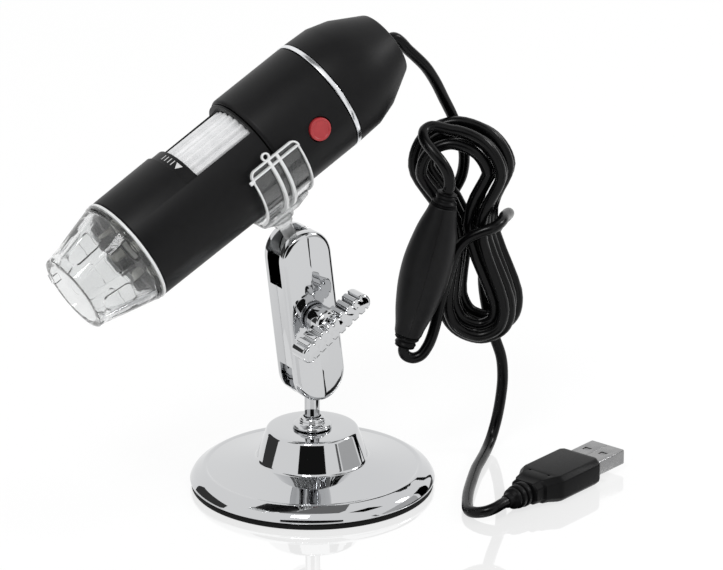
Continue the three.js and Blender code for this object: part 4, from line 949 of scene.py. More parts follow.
@dataclass
class Arm:
    """The two clamp plates round both balls, and what draws them together."""

    ball_spacing: float = STANCE.ball_spacing
    length: float = 52.4
    width: float = 16.4
    depth: float = 13.0
    wall: float = 1.7
    slot_width: float = 6.4
    slot_reach: float = 12.0
    ball_radius: float = STANCE.ball_radius
    bolt_radius: float = 2.0
    bolt_head_radius: float = 4.2
    bolt_head_height: float = 1.7
    bolt_dome: Point = (0.55, 0.35)
    washer_radius: float = 4.3
    washer_thickness: float = 0.8
    boss_radius: float = 4.4
    boss_height: float = 6.4
    boss_edge: float = 1.1
    span: float = 26.4
    wing_width: float = 5.4
    wing_thickness: float = 6.8
    wing_lift: float = 2.9
    wing_turn: float = 27.0
    wing_soft: float = 0.8
    ribs: int = 4
    rib_depth: float = 0.8
    rib_steps: int = 14
    rim_round: float = 1.5
    ridge_drop: float = 0.9
    ridge_round: float = 0.3
    face_insets: Point = (2.6, 3.8, 5.4, 6.8, 7.4, 7.7, 7.9, 8.05, 8.15)
    upper_slot: Point = (24, 95, -9.5, 0)
    lower_slot: Point = (32, 50.5, -1.5, 6)

    def slot(self, end: int, front: float, back: float, low: float, high: float) -> tuple[Solid, Solid]:
        """The slot that a ball's neck swings in, and the notch beside the ball.

        Args:
            end: 1 at the top, -1 at the bottom.
            front: How far the slot goes round on the front, in degrees.
            back: How far it goes round on the other side.
            low: Where the notch starts from the ball's centre.
            high: Where it ends.

        Returns:
            The two cutters.
        """
        middle, reach, width = end * self.ball_spacing / 2, self.slot_reach, self.slot_width
        fan = [(0, middle), *arc(reach, end * (90 - front), end * (90 + back), 48, 0, middle)]
        notch = block(reach, width, high - low, -reach / 2, 0, middle + (low + high) / 2)
        return pushed(fan, -width / 2, width / 2, Along.FRONT), notch

    def ridge_fall(self, x: float) -> float:
        """How far a plate's face lies below its central ridge, at a distance from the ridge."""
        soft = self.ridge_round
        return self.ridge_drop * (math.hypot(x, soft) - soft) / (self.width / 2)

    def plate(self, side: int) -> tuple[Solid, Joins]:
        """One clamp plate and what is cut from it.

        Args:
            side: 1 for the front plate, -1 for the back one.

        Returns:
            The plate's outer shape, and its cutters.
        """
        half, depth = self.width / 2, (self.depth - CLEARANCE) / 2
        soft = self.rim_round
        rim = [(0.25, 0), (0, 0.25), (0, depth - soft), *arc(soft, 180, 90, 8, soft, depth - soft)[1:]]
        rim += [(inset, depth) for inset in self.face_insets]
        levels = []
        for inset, height in rim:
            outline = stadium(half - inset, self.length / 2 - inset, 40)
            out = [CLEARANCE / 2 + height - self.ridge_fall(x) * height / depth for x, _ in outline]
            levels.append([Vector((x, -side * y, z)) for (x, z), y in zip(outline, out)])
        hollow_reach = self.ball_spacing / 2 - self.ball_radius - self.wall
        deep = self.depth / 2 - self.wall
        hollow = pushed(stadium(half - self.wall, hollow_reach, 24), -deep, deep, Along.FRONT)
        socket = self.ball_radius + CLEARANCE
        top, bottom = self.slot(1, *self.upper_slot), self.slot(-1, *self.lower_slot)
        bore = rod(self.bolt_radius + CLEARANCE, -self.depth, self.depth, Along.FRONT)
        spacing = self.ball_spacing / 2
        tools = cut(hollow, ball(socket, z=spacing), ball(socket, z=-spacing), *top, *bottom, bore)
        return rings(levels), tools

    def wing(self) -> Solid:
        """The bar of the wings, with round grip ribs across both long sides and softened faces."""
        half = self.wing_width / 2
        straight = self.span / 2 - half
        count = 2 * self.ribs * self.rib_steps
        run = [straight * (2 * i / count - 1) for i in range(count + 1)]
        start = self.depth / 2 + self.washer_thickness + 2 * CLEARANCE + self.wing_lift
        soft = self.wing_soft
        faces = arc(soft, 270, 180, 8, soft, soft)
        levels = [(inset, start + rise) for inset, rise in faces]
        levels += [(inset, start + self.wing_thickness - rise) for inset, rise in reversed(faces)]
        turn = Matrix(Along.FRONT.value)
        skin = []
        for inset, height in levels:
            grooves = [self.rib_depth * self.groove(self.ribs * (at / straight + 1)) for at in run]
            side = [(half - inset - groove, at) for groove, at in zip(grooves, run)]
            outline = [
                *side,
                *arc(half - inset, 0, 180, 24, 0, straight)[1:-1],
                *[(-x, -y) for x, y in side],
                *arc(half - inset, 180, 360, 24, 0, -straight)[1:-1],
            ]
            skin.append([turn @ Vector((x, y, height)) for x, y in outline])
        return rolled(rings(skin), 90 - self.wing_turn, "Y")

    @staticmethod
    def groove(pitches: float) -> float:
        """How deep a grip groove is, as a share: round valleys between flat-topped ribs."""
        away = abs(pitches - round(pitches))
        return 0.5 + 0.5 * math.cos(math.pi * min(away / 0.27, 1))

    def build(self) -> None:
        """Makes the arm's pieces."""
        arm, nut = Host(STANCE.arm(), "arm"), Host(STANCE.arm(), "wing_nut")
        for name, side in (("clamp_front_plate", 1), ("clamp_back_plate", -1)):
            shape, tools = self.plate(side)
            arm.make(name, shape, CHROME, "chrome", tools, bevel=0.18)
        face = self.depth / 2
        start = face + self.washer_thickness + 2 * CLEARANCE
        end, head = start + self.boss_height, -(face + CLEARANCE)
        tip, low = end + CLEARANCE - self.boss_edge / 2, head - self.bolt_head_height
        radius, shank = self.bolt_head_radius, self.bolt_radius
        top_share, side_share = self.bolt_dome
        bolt = [
            (0, low), (radius * top_share, low, 0.8),
            (radius, head - self.bolt_head_height * side_share, 0.5), (radius, head),
            (shank, head), (shank, tip, 0.4), (0, tip),
        ]  # fmt: skip
        arm.make("clamp_bolt", turned(bolt, Along.FRONT, segments=MEDIUM), CHROME, "chrome")
        ring = face + CLEARANCE
        washer = tube(shank + CLEARANCE, self.washer_radius, ring, ring + self.washer_thickness, Along.FRONT)
        arm.make("bolt_washer", washer, ZINC, "steel")
        radius, edge = self.boss_radius, self.boss_edge
        side = [(radius, start, 0.3), (radius, end - edge, 0.6), (radius - edge, end, 0.5)]
        boss = turned([(0, start), *side, (0, end)], Along.FRONT, segments=MEDIUM)
        bore = rod(shank + CLEARANCE, start - OVERRUN, tip + CLEARANCE, Along.FRONT)
        nut.make("wing_nut", self.wing(), CHROME, "chrome", add(boss) + cut(bore), smooth=50)
        dressed(ZINC, "steel", "clamp_spring")


# The clip and the barrel


@dataclass
class Clip:
    """The clear C-shaped clip round the barrel, and the clear stem with its ball."""

    bore: float = 17.6
    wall: float = 1.1
    width: float = 17.2
    half_angle: float = 107.6
    rib_width: float = 0.85
    rib_spacing: float = 3.0
    rib_height: float = 0.7
    line_width: float = 0.48
    recess: float = 0.35
    pad_angle: float = 24.5
    frame_height: float = 0.3
    end_angle: float = 6.0
    end_height: float = 0.8
    end_corner: float = 2.1
    pad_depth: float = 15.0
    pad_height: float = 2.6
    pad_corner: float = 0.9
    pad_foot: Point = (0.66, 0.74)
    pad_tip: Point = (0.62, 0.7)
    boss_radius: float = 4.2
    boss_height: float = 2.2
    socket_depth: float = 3.6
    bump_radius: float = 1.3
    bump_wall: float = 0.55
    bump_lift: float = 0.5
    bump_beyond: float = 2.5
    peg_radius: float = 0.6
    peg_reach: float = 1.1
    peg_angle: float = 80.5
    stem_length: float = STANCE.stem_length
    collar_radius: float = 2.9
    collar_height: float = 2.4
    neck_radius: float = 1.95
    pin_radius: float = 1.7
    tip_gap: float = 0.6
    ball_radius: float = STANCE.ball_radius

    def band(self, bore: float, radius: float, start: float, end: float, low: float, high: float) -> Solid:
        """A band of the C.

        Args:
            bore: Its inner radius.
            radius: Its outer radius.
            start: Where it starts along the barrel.
            end: Where it ends.
            low: The first angle from the bottom.
            high: The last angle.

        Returns:
            The band.
        """
        steps = max(4, round((high - low) / 2.5))
        return pushed(sector(bore, radius, low - 90, high - 90, steps), start, end, Along.X)

    def frames(self, foot: float) -> list[Solid]:
        """The raised lines on both arms of the C: its edges, the two ribs and a frame across each end.

        Args:
            foot: The radius that they stand on.

        Returns:
            The lines.
        """
        top = self.bore + self.wall
        half, rib, line = self.width / 2, self.rib_width / 2, self.line_width
        turn = math.degrees(line / top)
        last = self.half_angle
        made = []
        for side in (-1, 1):

            def reach(first: float, final: float) -> tuple[float, float]:
                """The two angles on this side, the lower one first."""
                return (first, final) if side > 0 else (-final, -first)

            whole = reach(self.pad_angle, last)
            for x in (-self.rib_spacing / 2, self.rib_spacing / 2):
                made.append(self.band(foot, top + self.rib_height, x - rib, x + rib, *whole))
            for x in (-half, half - line):
                made.append(self.band(foot, top + self.frame_height, x, x + line, *whole))
            for first in (last - turn, last - self.end_angle - turn):
                made.append(self.band(foot, top + self.end_height, -half, half, *reach(first, first + turn)))
        return made

    def end_corners(self, foot: float) -> tuple[list[Solid], list[Solid]]:
        """The rounded corners at the C's two ends.

        Args:
            foot: The radius that the raised lines stand on.

        Returns:
            What comes off each corner, and the curved lines that stand there.
        """
        top, corner = self.bore + self.wall + self.end_height, self.end_corner
        off, lines = [], []
        for quarter, (side, end) in enumerate(((1, 1), (1, -1), (-1, -1), (-1, 1))):
            first = 90 * quarter
            tip = arc(2 * corner, first + 45, first + 45, 1)[0]
            piece = [*arc(corner, first, first + 90, 10), tip]
            line = sector(corner - self.line_width, corner, first, first + 90, 10)
            for made, outline, low, high in ((off, piece, 0, top + 1), (lines, line, foot, top)):
                placed = shifted(pushed(outline, low, high), end * (self.width / 2 - corner), -side * corner)
                made.append(rolled(placed, side * (180 - self.half_angle)))
        return off, lines

    def stud(self) -> Solid:
        """A small round stud with a hollow top on the C's far end."""
        outer = self.bump_radius
        stud = tube(outer - self.bump_wall, outer, -self.wall / 2, self.bump_lift, soft=0.2)
        placed = rolled(shifted(stud, z=self.bore + self.wall), 180 - self.half_angle - self.bump_beyond)
        return shifted(placed, x=-self.rib_spacing / 2)

    def build(self) -> None:
        """Makes the clip and its stem."""
        clip, stem = Host(STANCE.head(), "clip"), Host(STANCE.head(), "stem")
        radius, half = self.bore + self.wall, self.width / 2
        skin = radius - self.recess
        pad_bottom = radius + self.pad_height
        boss_bottom = pad_bottom + self.boss_height
        wide, deep = self.width, self.pad_depth
        (foot_wide, foot_deep), (tip_wide, tip_deep) = self.pad_foot, self.pad_tip
        levels = (
            (wide, deep, -self.bore), (wide, deep, -radius + 0.3), (wide - 0.7, deep - 0.4, -radius - 0.2),
            (wide * foot_wide, deep * foot_deep, -pad_bottom + 0.35),
            (wide * tip_wide, deep * tip_deep, -pad_bottom),
        )  # fmt: skip
        pad = lofted([(rounded_box(w, d, self.pad_corner), height) for w, d, height in levels])
        hollow = cut(rod(self.bore, -self.width, self.width, Along.X, segments=FINE))
        off, curves = self.end_corners(skin)
        band = self.band(self.bore, skin - OVERLAP, -half, half, -self.half_angle, self.half_angle)
        clip.make("clip", band, CLEAR, "clear_plastic", cut(*off), smooth=28)
        first, *others = self.frames(skin)
        peg = rod(self.peg_radius, -half - self.peg_reach, -half + self.line_width, Along.X, 0.2, SMALL)
        peg = rolled(shifted(peg, z=radius + self.peg_radius / 2), self.peg_angle)
        others += [self.stud(), peg]
        joins = add(*others) + cut(*off) + add(*curves) + hollow
        # The raised lines, stud and peg take the whiter plastic, whose painted highlight stands in for light
        # caught in their edges.
        clip.make("clip_frames", first, CLEAR_PAINTED_HIGHLIGHT, "clear_plastic", joins, 0.12, 28, replaces=())
        socket = rod(self.pin_radius + CLEARANCE, -boss_bottom - OVERRUN, -boss_bottom + self.socket_depth)
        room = rod(skin + OVERLAP, -self.width, self.width, Along.X, segments=FINE)
        joins = add(rod(self.boss_radius, -boss_bottom, -self.bore)) + cut(socket, room)
        clip.make("clip_pad", pad, CLEAR_THICK, "clear_plastic", joins, 0.25, 28, ())
        collar_top = -boss_bottom - CLEARANCE
        collar_bottom = collar_top - self.collar_height
        pin_top = collar_top + self.socket_depth
        neck = 90 - math.degrees(math.asin(self.neck_radius / self.ball_radius))
        balled = arc(self.ball_radius, neck, -90, 40, 0, -self.stem_length)[:-1]
        profile = [
            (0, pin_top), (self.pin_radius, pin_top), (self.pin_radius, collar_top),
            (self.collar_radius, collar_top), (self.collar_radius, collar_bottom + self.tip_gap),
            (self.neck_radius, collar_bottom), *balled, (0, -self.stem_length - self.ball_radius),
        ]  # fmt: skip
        stem.make("ball_stem", turned(profile, soft=0.25, segments=MEDIUM), CLEAR_THICK, "clear_plastic")


@dataclass
class Barrel:
    """The barrel's shells, nose, window and button, with what shows of its inside."""

    tip_radius: float = 16.05
    front_radius: float = 16.5
    rear_radius: float = 17.3
    front_bore: float = 14.7
    shell_end: float = 45.0
    spigot_length: float = 6.0
    spigot_radius: float = 15.2
    spigot_bore: float = 13.6
    rear_lip: float = 0.8
    ring_at: float = 70.5
    ring_width: float = 1.3
    ring_proud: float = 0.15
    chamfer_at: float = 86.4
    chamfer_radius: float = 15.1
    length: float = 96.2
    end_radius: float = 9.85
    end_flats: int = 8
    cap_wall: float = 2.0
    cap_spigot: float = 3.0
    cap_drop: float = 0.35
    cap_swell: float = 8.0
    cord_hole: float = 3.2
    window_start: float = 24.4
    window_length: float = 20.0
    window_half_angle: float = 50.5
    band_width: float = 4.0
    band_depth: float = 0.8
    pointer: tuple[Point, ...] = ((-1.0, 0.0), (0.9, -1.25), (0.9, 1.25))
    pointer_at: float = 62.0
    tick: tuple[Point, ...] = ((-0.9, -0.14), (0.9, -0.14), (0.9, 0.14), (-0.9, 0.14))
    ticks: int = 4
    ticks_from: float = 70.0
    tick_step: float = 5.5
    nose_length: float = 20.5
    nose_front: float = 11.6
    nose_wall: float = 1.5
    nose_rim_bore: float = 9.5
    nose_rim_depth: float = 2.2
    nose_flange: float = 0.8
    nose_spigot: float = 2.6
    tab_size: Point = (2.4, 3.0, 1.8)
    tab_angle: float = -80.0
    seam_width: float = 0.8
    baffle_radius: float = 11.3
    pocket: tuple[Point, ...] = ((-15.0, -2.3), (-5.4, -3.4), (-5.4, 3.4), (-15.0, 2.3))
    pocket_round: float = 2.0
    pocket_top: float = 11.3
    pocket_pivot: float = 12.3
    board_depth: float = 1.2
    lamp_radius: float = 1.7
    lamp_body: float = 2.4
    lamp_circle: float = 11.0
    baffle_width: float = 4.4
    baffle_depth: float = 2.2
    baffle_reach: float = 5.2
    guide_radius: float = 9.2
    guide_wall: float = 1.3
    guide_start: float = 4.6
    guide_end: float = 52.0
    flange_start: float = 21.6
    flange_end: float = 23.6
    pin_at: float = 26.0
    pin_radius: float = 0.8
    pin_slot: Point = (14.2, 2.4)
    lens_start: float = 10.0
    lens_end: float = 34.0
    lens_lip: float = 0.6
    lens_wall: float = 1.4
    lens_edge: float = 0.6
    lens_swell: float = 1.6
    lens_set_back: float = 3.6
    roller_inset: float = 2.2
    roller_ribs: int = 32
    button_at: float = 60.5
    button_radius: float = 3.3
    button_gap: float = 0.4
    button_face: float = 0.76
    button_flange: float = 0.9
    button_bottom: float = 14.0
    button_proud: float = 0.5
    button_sink: float = 0.22
    gland_flange: float = 4.6
    gland_rim: float = 3.7
    gland_tip: float = 1.95

    def sector_over(self, bore: float, radius: float, start: float, end: float) -> Solid:
        """A cutter over the barrel's top."""
        half = self.window_half_angle
        return pushed(sector(bore, radius, 90 - half, 90 + half, 40), start, end, Along.X)

    def shells(self, host: Host) -> None:
        """Makes the front and rear shells, the bright ring and the rear cap."""
        outside, window, seat = self.rear_radius + OVERRUN, self.window_start, self.shell_end
        spigot, spigot_end = self.spigot_radius, seat + self.spigot_length
        front = [
            (self.front_bore, 0), (self.tip_radius, 0, 0.4), (self.front_radius, seat), (spigot, seat),
            (spigot, spigot_end), (self.spigot_bore, spigot_end), (self.spigot_bore, seat),
            (self.front_bore, seat),
        ]  # fmt: skip
        band_floor = self.front_radius - self.band_depth
        band = self.sector_over(band_floor, outside, window - self.band_width, window + OVERRUN)
        opening = self.sector_over(self.guide_radius, outside, window, window + self.window_length)
        tools = cut(band, opening)
        host.make("front_shell", turned(front, Along.X, 0.15), SOFT_PAINT, "body_black", tools, bevel=0.2)
        start, stop = seat + CLEARANCE, self.ring_at - CLEARANCE
        bore, radius, lip = spigot + CLEARANCE, self.rear_radius, self.rear_lip
        side = [(radius - lip * 0.7, start, 0.3), (radius, start + lip, 0.5), (radius, stop, 0.15)]
        hole = rolled(rod(self.button_radius + self.button_gap, self.spigot_bore, outside), 90)
        tools = cut(shifted(hole, x=self.button_at))
        rear = turned([(bore, start), *side, (bore, stop)], Along.X, 0.15)
        host.make("rear_shell", rear, SOFT_PAINT, "body_black", tools, bevel=0.15)
        ring = tube(bore, radius + self.ring_proud, self.ring_at, self.ring_at + self.ring_width, Along.X)
        host.make("silver_ring", ring, BRIGHT_RING, "silver")
        self.cap(host)

    def cap(self, host: Host) -> None:
        """Makes the rear cap, whose tapered end has flats."""
        start, spigot = self.ring_at + self.ring_width + CLEARANCE, self.ring_at - self.cap_spigot
        wide, end, wall = self.chamfer_radius, self.length, self.cap_wall
        section = [
            (self.spigot_bore, spigot), (self.spigot_radius, spigot), (self.spigot_radius, start),
            (self.rear_radius, start, 0.2), (self.rear_radius - self.cap_drop, start + self.cap_swell, 6.0),
            (wide, self.chamfer_at, 1.6), (self.end_radius, end, 0.7), (self.cord_hole, end),
            (self.cord_hole, end - wall), (self.end_radius - wall, end - wall),
            (wide - wall, self.chamfer_at),
        ]  # fmt: skip
        flat = 1 / math.cos(math.pi / self.end_flats)
        slope = (wide - self.end_radius) / (end - self.chamfer_at)
        low, high = spigot - OVERRUN, end + OVERRUN
        cone = [((self.end_radius + slope * (end - at)) * flat, at) for at in (low, high)]
        trim = turned([(0, low), *cone, (0, high)], Along.X, 0, self.end_flats)
        shape, joins = turned(section, Along.X, 0.2), ((Joining.KEEP_COMMON, trim),)
        host.make("rear_cap", shape, SOFT_PAINT, "body_black", joins, bevel=0.35, smooth=40)

    def nose(self, host: Host) -> None:
        """Makes the clear nose cone with the shallow pockets in its wall, and the seam ring behind it, whose
        bright line is a painted highlight.
        """
        back, front = -(self.seam_width + 2 * CLEARANCE), -self.nose_length
        flange, tip, spigot = back - self.nose_flange, self.tip_radius, self.front_bore - CLEARANCE
        rim, inner = self.nose_rim_bore, spigot - self.nose_wall
        section = [
            (inner, self.nose_spigot), (spigot, self.nose_spigot), (spigot, back), (tip, back, 0.25),
            (tip, flange, 0.3), (tip - 0.25, flange - 0.3, 0.2), (self.nose_front + 0.15, front + 1.6, 0.4),
            (self.nose_front, front, 0.5), (rim, front, 0.4), (rim, front + self.nose_rim_depth, 0.4),
            (tip - self.nose_wall - self.nose_flange, flange, 0.4), (inner, back, 0.3),
        ]  # fmt: skip
        tab = block(*self.tab_size, front + self.tab_size[0] / 2, 0, self.nose_front)
        slope = math.degrees(math.atan2(tip - self.nose_front, self.nose_length))
        outline = soften(list(self.pocket), self.pocket_round, steps=8)
        pocket = rolled(shifted(pushed(outline, 0, self.pocket_top), x=self.pocket_pivot), -slope, "Y")
        pockets = around(shifted(pocket, x=-self.pocket_pivot), 0, 22.5)
        joins = add(rolled(tab, self.tab_angle)) + cut(*pockets)
        cone = turned(section, Along.X, 0.2)
        host.make("nose_cone", cone, CLEAR, "clear_plastic", joins, bevel=0.06, smooth=30)
        ring = tube(self.front_bore, tip + 0.15, -(self.seam_width + CLEARANCE), -CLEARANCE, Along.X, 0.2)
        # The seam ring takes the whiter plastic: a painted highlight for its flange edge catching light.
        host.make("seam_ring", ring, CLEAR_PAINTED_HIGHLIGHT, "clear_plastic")

    def lamps(self, host: Host) -> None:
        """Makes the lamps, their board and the black mask with its baffles."""
        board, flange = self.nose_spigot + CLEARANCE, self.front_bore - CLEARANCE
        bore = self.guide_radius - self.guide_wall + CLEARANCE
        shape = tube(bore, flange, board, board + self.board_depth, Along.X)
        host.make("led_board", shape, WHITE_MASK, "board_white")
        end, radius = board - CLEARANCE, self.lamp_radius
        dome = end - self.lamp_body
        side = arc(radius, 0, -90, 12, 0, dome)[1:-1]
        lamp = [(0, end), (radius, end, 0.1), (radius, dome), *side, (0, dome - radius)]
        for i, placed in enumerate(around(turned(lamp, Along.X, 0, SMALL), self.lamp_circle, 22.5)):
            host.make(f"led_{i + 1}", placed, LAMP, "lamp_plastic")
        holes = around(rod(radius + 0.2, end - 1, end, Along.X), self.lamp_circle, 22.5)
        mask = tube(bore, flange - self.nose_wall - CLEARANCE, end - 0.5, end - 0.1, Along.X)
        foot = end - 0.3
        outline = rounded_box(self.baffle_depth, self.baffle_width, 0.7)
        baffles = around(pushed(outline, foot - self.baffle_reach, foot, Along.X), self.baffle_radius, 0)
        host.make("lamp_mask", mask, BLACK_ABS, "inner_black", cut(*holes) + add(*baffles), 0.15, replaces=())

    def optics(self, host: Host, lens: Host, roller: Host) -> None:
        """Makes the guide tube, the lens in its carriage and the ribbed roller under the window."""
        radius, flange = self.guide_radius, self.front_bore - CLEARANCE
        bore = radius - self.guide_wall
        low, high = self.flange_start, self.flange_end
        guide = [
            (bore, self.guide_start), (radius, self.guide_start), (radius, low), (flange, low),
            (flange, high), (radius, high), (radius, self.guide_end), (bore, self.guide_end),
        ]  # fmt: skip
        slot = rolled(block(*self.pin_slot, flange - bore + 1, self.pin_at, 0, (bore + flange) / 2), 180)
        host.make("guide_tube", turned(guide, Along.X, 0.2), BLACK_ABS, "inner_black", cut(slot))
        first, last, lip = self.lens_start, self.lens_end, self.lens_lip
        hold = bore - CLEARANCE
        inner = hold - self.lens_wall
        carriage = [
            (inner, first, 0.3), (hold, first, 0.3), (hold, last), (inner - lip, last),
            (inner - lip, last - lip), (inner, last - lip),
        ]  # fmt: skip
        pin = shifted(rolled(rod(self.pin_radius, inner + 0.7, radius), 180), x=self.pin_at)
        lens.make("lens_carriage", turned(carriage, Along.X, 0.15), BLACK_ABS, "inner_black", add(pin))
        edge, swell, middle = self.lens_edge, self.lens_swell, first + self.lens_set_back
        side = [((inner - CLEARANCE) * x, edge + swell * y) for x, y in arc(1, 90, 0, 12)[1:]]
        near, far = [(r, middle - h) for r, h in side], [(r, middle + h) for r, h in reversed(side)]
        crown = [(0, middle - edge - swell), *near, *far, (0, middle + edge + swell)]
        lens.make("front_lens", turned(crown, Along.X, 0, MEDIUM), LENS_GLASS, "lens_glass")
        start, stop = high + CLEARANCE, self.shell_end - CLEARANCE
        ribbed = self.front_radius - self.roller_inset
        outline = toothed(ribbed, self.roller_ribs, 10, lambda wave: 1 - wave**0.6)
        drum = pushed(outline, start, stop, Along.X)
        room = rod(radius + CLEARANCE, start - 1, stop + 1, Along.X)
        roller.make("focus_roller", drum, PEARL, "roller_plastic", cut(room), smooth=50)

    def trim(self, host: Host, button: Host) -> None:
        """Makes the push button, the printed mark beside the window and the lead's gland."""
        bottom, top, radius = self.button_bottom, self.rear_radius + self.button_proud, self.button_radius
        face, flange, sunk = radius * self.button_face, radius + self.button_flange, top - self.button_sink
        cap = [
            (0, bottom), (flange, bottom), (flange, bottom + 0.6), (radius, bottom + 0.6),
            (radius, top, 0.4), (face + 0.2, top, 0.2), (face, sunk, 0.12), (0, sunk + 0.05),
        ]  # fmt: skip
        shape = shifted(rolled(turned(cap, soft=0.12, segments=MEDIUM), 90), x=self.button_at)
        button.make("snap_button", shape, RED, "button_plastic")
        inside, outside = self.length - self.cap_wall - CLEARANCE, self.length + CLEARANCE
        neck, flange = self.cord_hole - CLEARANCE, self.gland_flange
        gland = [
            (0, inside - 1.5), (flange, inside - 1.5), (flange, inside), (neck, inside), (neck, outside),
            (self.gland_rim, outside, 0.2), (self.gland_tip, outside + 0.6, 0.2), (0, outside + 0.6),
        ]  # fmt: skip
        host.make("cord_gland", turned(gland, Along.X, 0.1, MEDIUM), OVERMOULD, "lead_rubber")
        self.mark(host)

    def mark(self, host: Host) -> None:
        """Prints a plain pointer and a row of ticks on the recessed band beside the window."""
        radius = self.front_radius - self.band_depth
        shapes = [(self.pointer, self.pointer_at)]
        shapes += [(self.tick, self.ticks_from + self.tick_step * i) for i in range(self.ticks)]
        points, faces = [], []
        for outline, angle in shapes:
            ink = pushed(soften(list(outline), 0.05), radius - 0.02, radius + 0.05)
            ink = rolled(shifted(ink, x=self.window_start - self.band_width / 2), 90 - angle)
            first = len(points)
            points += ink[0]
            faces += [tuple(first + i for i in face) for face in ink[1]]
        host.make("index_mark", (points, faces), INK, "silver", replaces=())

    def build(self) -> None:
        """Makes the barrel's pieces."""
        place = STANCE.barrel()
        host = Host(place, "barrel")
        self.shells(host)
        self.nose(host)
        self.lamps(host)
        self.optics(host, Host(place, "lens"), Host(place, "focus_roller"))
        self.trim(host, Host(place, "snap_button"))
        dressed(BLACK_ABS, "inner_black", "rear_bulkhead")
        dressed(LENS_GLASS, "lens_glass", "rear_lens")
        dressed(GREEN_MASK, "board_green", "sensor_board", "main_board")
        dressed(SILICON, "sensor_silicon", "image_sensor")
        dressed(ZINC, "steel", "push_switch")


# The inline control and the plug


def ribbed_relief(radius: float, tip: float, length: float, grooves: int, depth: float) -> Solid:
    """A tapered strain relief with round grooves, from its wide end to its tip."""
    profile: list[Point] = [(0, 0), (radius, 0, 0.3)]
    steps = grooves * 12
    for i in range(1, steps):
        share = i / steps
        wave = max(0.0, math.sin(math.pi * ((share * grooves) % 1))) ** 2
        hollow = depth * (1 - wave) if 0.08 < share < 0.95 else 0
        profile.append((radius + (tip - radius) * share - hollow, length * share))
    return turned([*profile, (tip, length, 0.2), (0, length)], soft=0.1, segments=MEDIUM)


@dataclass
class InlineControl:
    """The bullet-shaped light control on the lead, with its reliefs and its wheel."""

    top_x: float = -7.2
    top_z: float = 84.1
    bottom_x: float = -17.3
    bottom_z: float = 45.0
    forward: float = 15.6
    radius: float = 7.2
    end_radius: float = 4.0
    wheel_radius: float = 4.6
    wheel_width: float = 2.6
    wheel_proud: float = 1.1
    wheel_teeth: int = 24
    swell_shares: tuple[Point, ...] = (
        (0, 0), (0.05, 0.1), (0.22, 0.62), (0.42, 0.97), (0.55, 1), (0.78, 0.66), (0.95, 0.12), (1, 0),
    )  # fmt: skip

    def build(self, lead: Lead) -> list[Piece]:
        """Makes the control's pieces.

        Args:
            lead: The lead that it sits on.

        Returns:
            The pieces.
        """
        axis = Vector((self.top_x - self.bottom_x, 0, self.top_z - self.bottom_z))
        length = axis.length
        place = lead.place() @ Matrix.Translation((self.bottom_x, -self.forward, self.bottom_z))
        place = place @ rotation(math.degrees(math.atan2(axis.x, axis.z)), "Y")
        host = Host(place, "barrel")
        curve = sampled([Vector((along, swell, 0)) for along, swell in self.swell_shares], 8)
        side = [(self.end_radius + (self.radius - self.end_radius) * p.y, length * p.x) for p in curve]
        near, far = side[0][0] - 0.15, side[-1][0] - 0.15
        profile = [(0, 0), (near, 0, 0.3), *side[1:-1], (far, length, 0.3), (0, length)]
        back, wide = self.radius + self.wheel_proud - self.wheel_radius, self.wheel_width / 2
        pocket = rod(self.wheel_radius + CLEARANCE, -wide - CLEARANCE, wide + CLEARANCE, Along.X)
        pocket = shifted(pocket, y=back, z=length / 2)
        size = 3 * self.radius
        pieces = []
        for name, facing in (("control_left_shell", -1), ("control_right_shell", 1)):
            other = block(size, size, 3 * length, -facing * (size / 2 - 0.025))
            shape, tools = turned(profile, soft=0.2), cut(other, pocket)
            pieces.append(host.make(name, shape, SOFT_PAINT, "body_black", tools, bevel=0.05, smooth=40))
        outline = toothed(self.wheel_radius, self.wheel_teeth, 8, lambda wave: 0.35 * wave**2)
        wheel = shifted(pushed(outline, -wide, wide, Along.X), y=back, z=length / 2)
        pieces.append(Host(place, "dimmer_wheel").make("dimmer_wheel", wheel, BLACK_ABS, "inner_black"))
        relief = ribbed_relief(radius=3.8, tip=2.9, length=3.6, grooves=2, depth=0.6)
        top, bottom = shifted(relief, z=length + CLEARANCE), shifted(rolled(relief, 180), z=-CLEARANCE)
        pieces.append(host.make("control_top_relief", top, OVERMOULD, "lead_rubber"))
        pieces.append(host.make("control_bottom_relief", bottom, OVERMOULD, "lead_rubber"))
        dressed(GREEN_MASK, "board_green", "control_board")
        return pieces


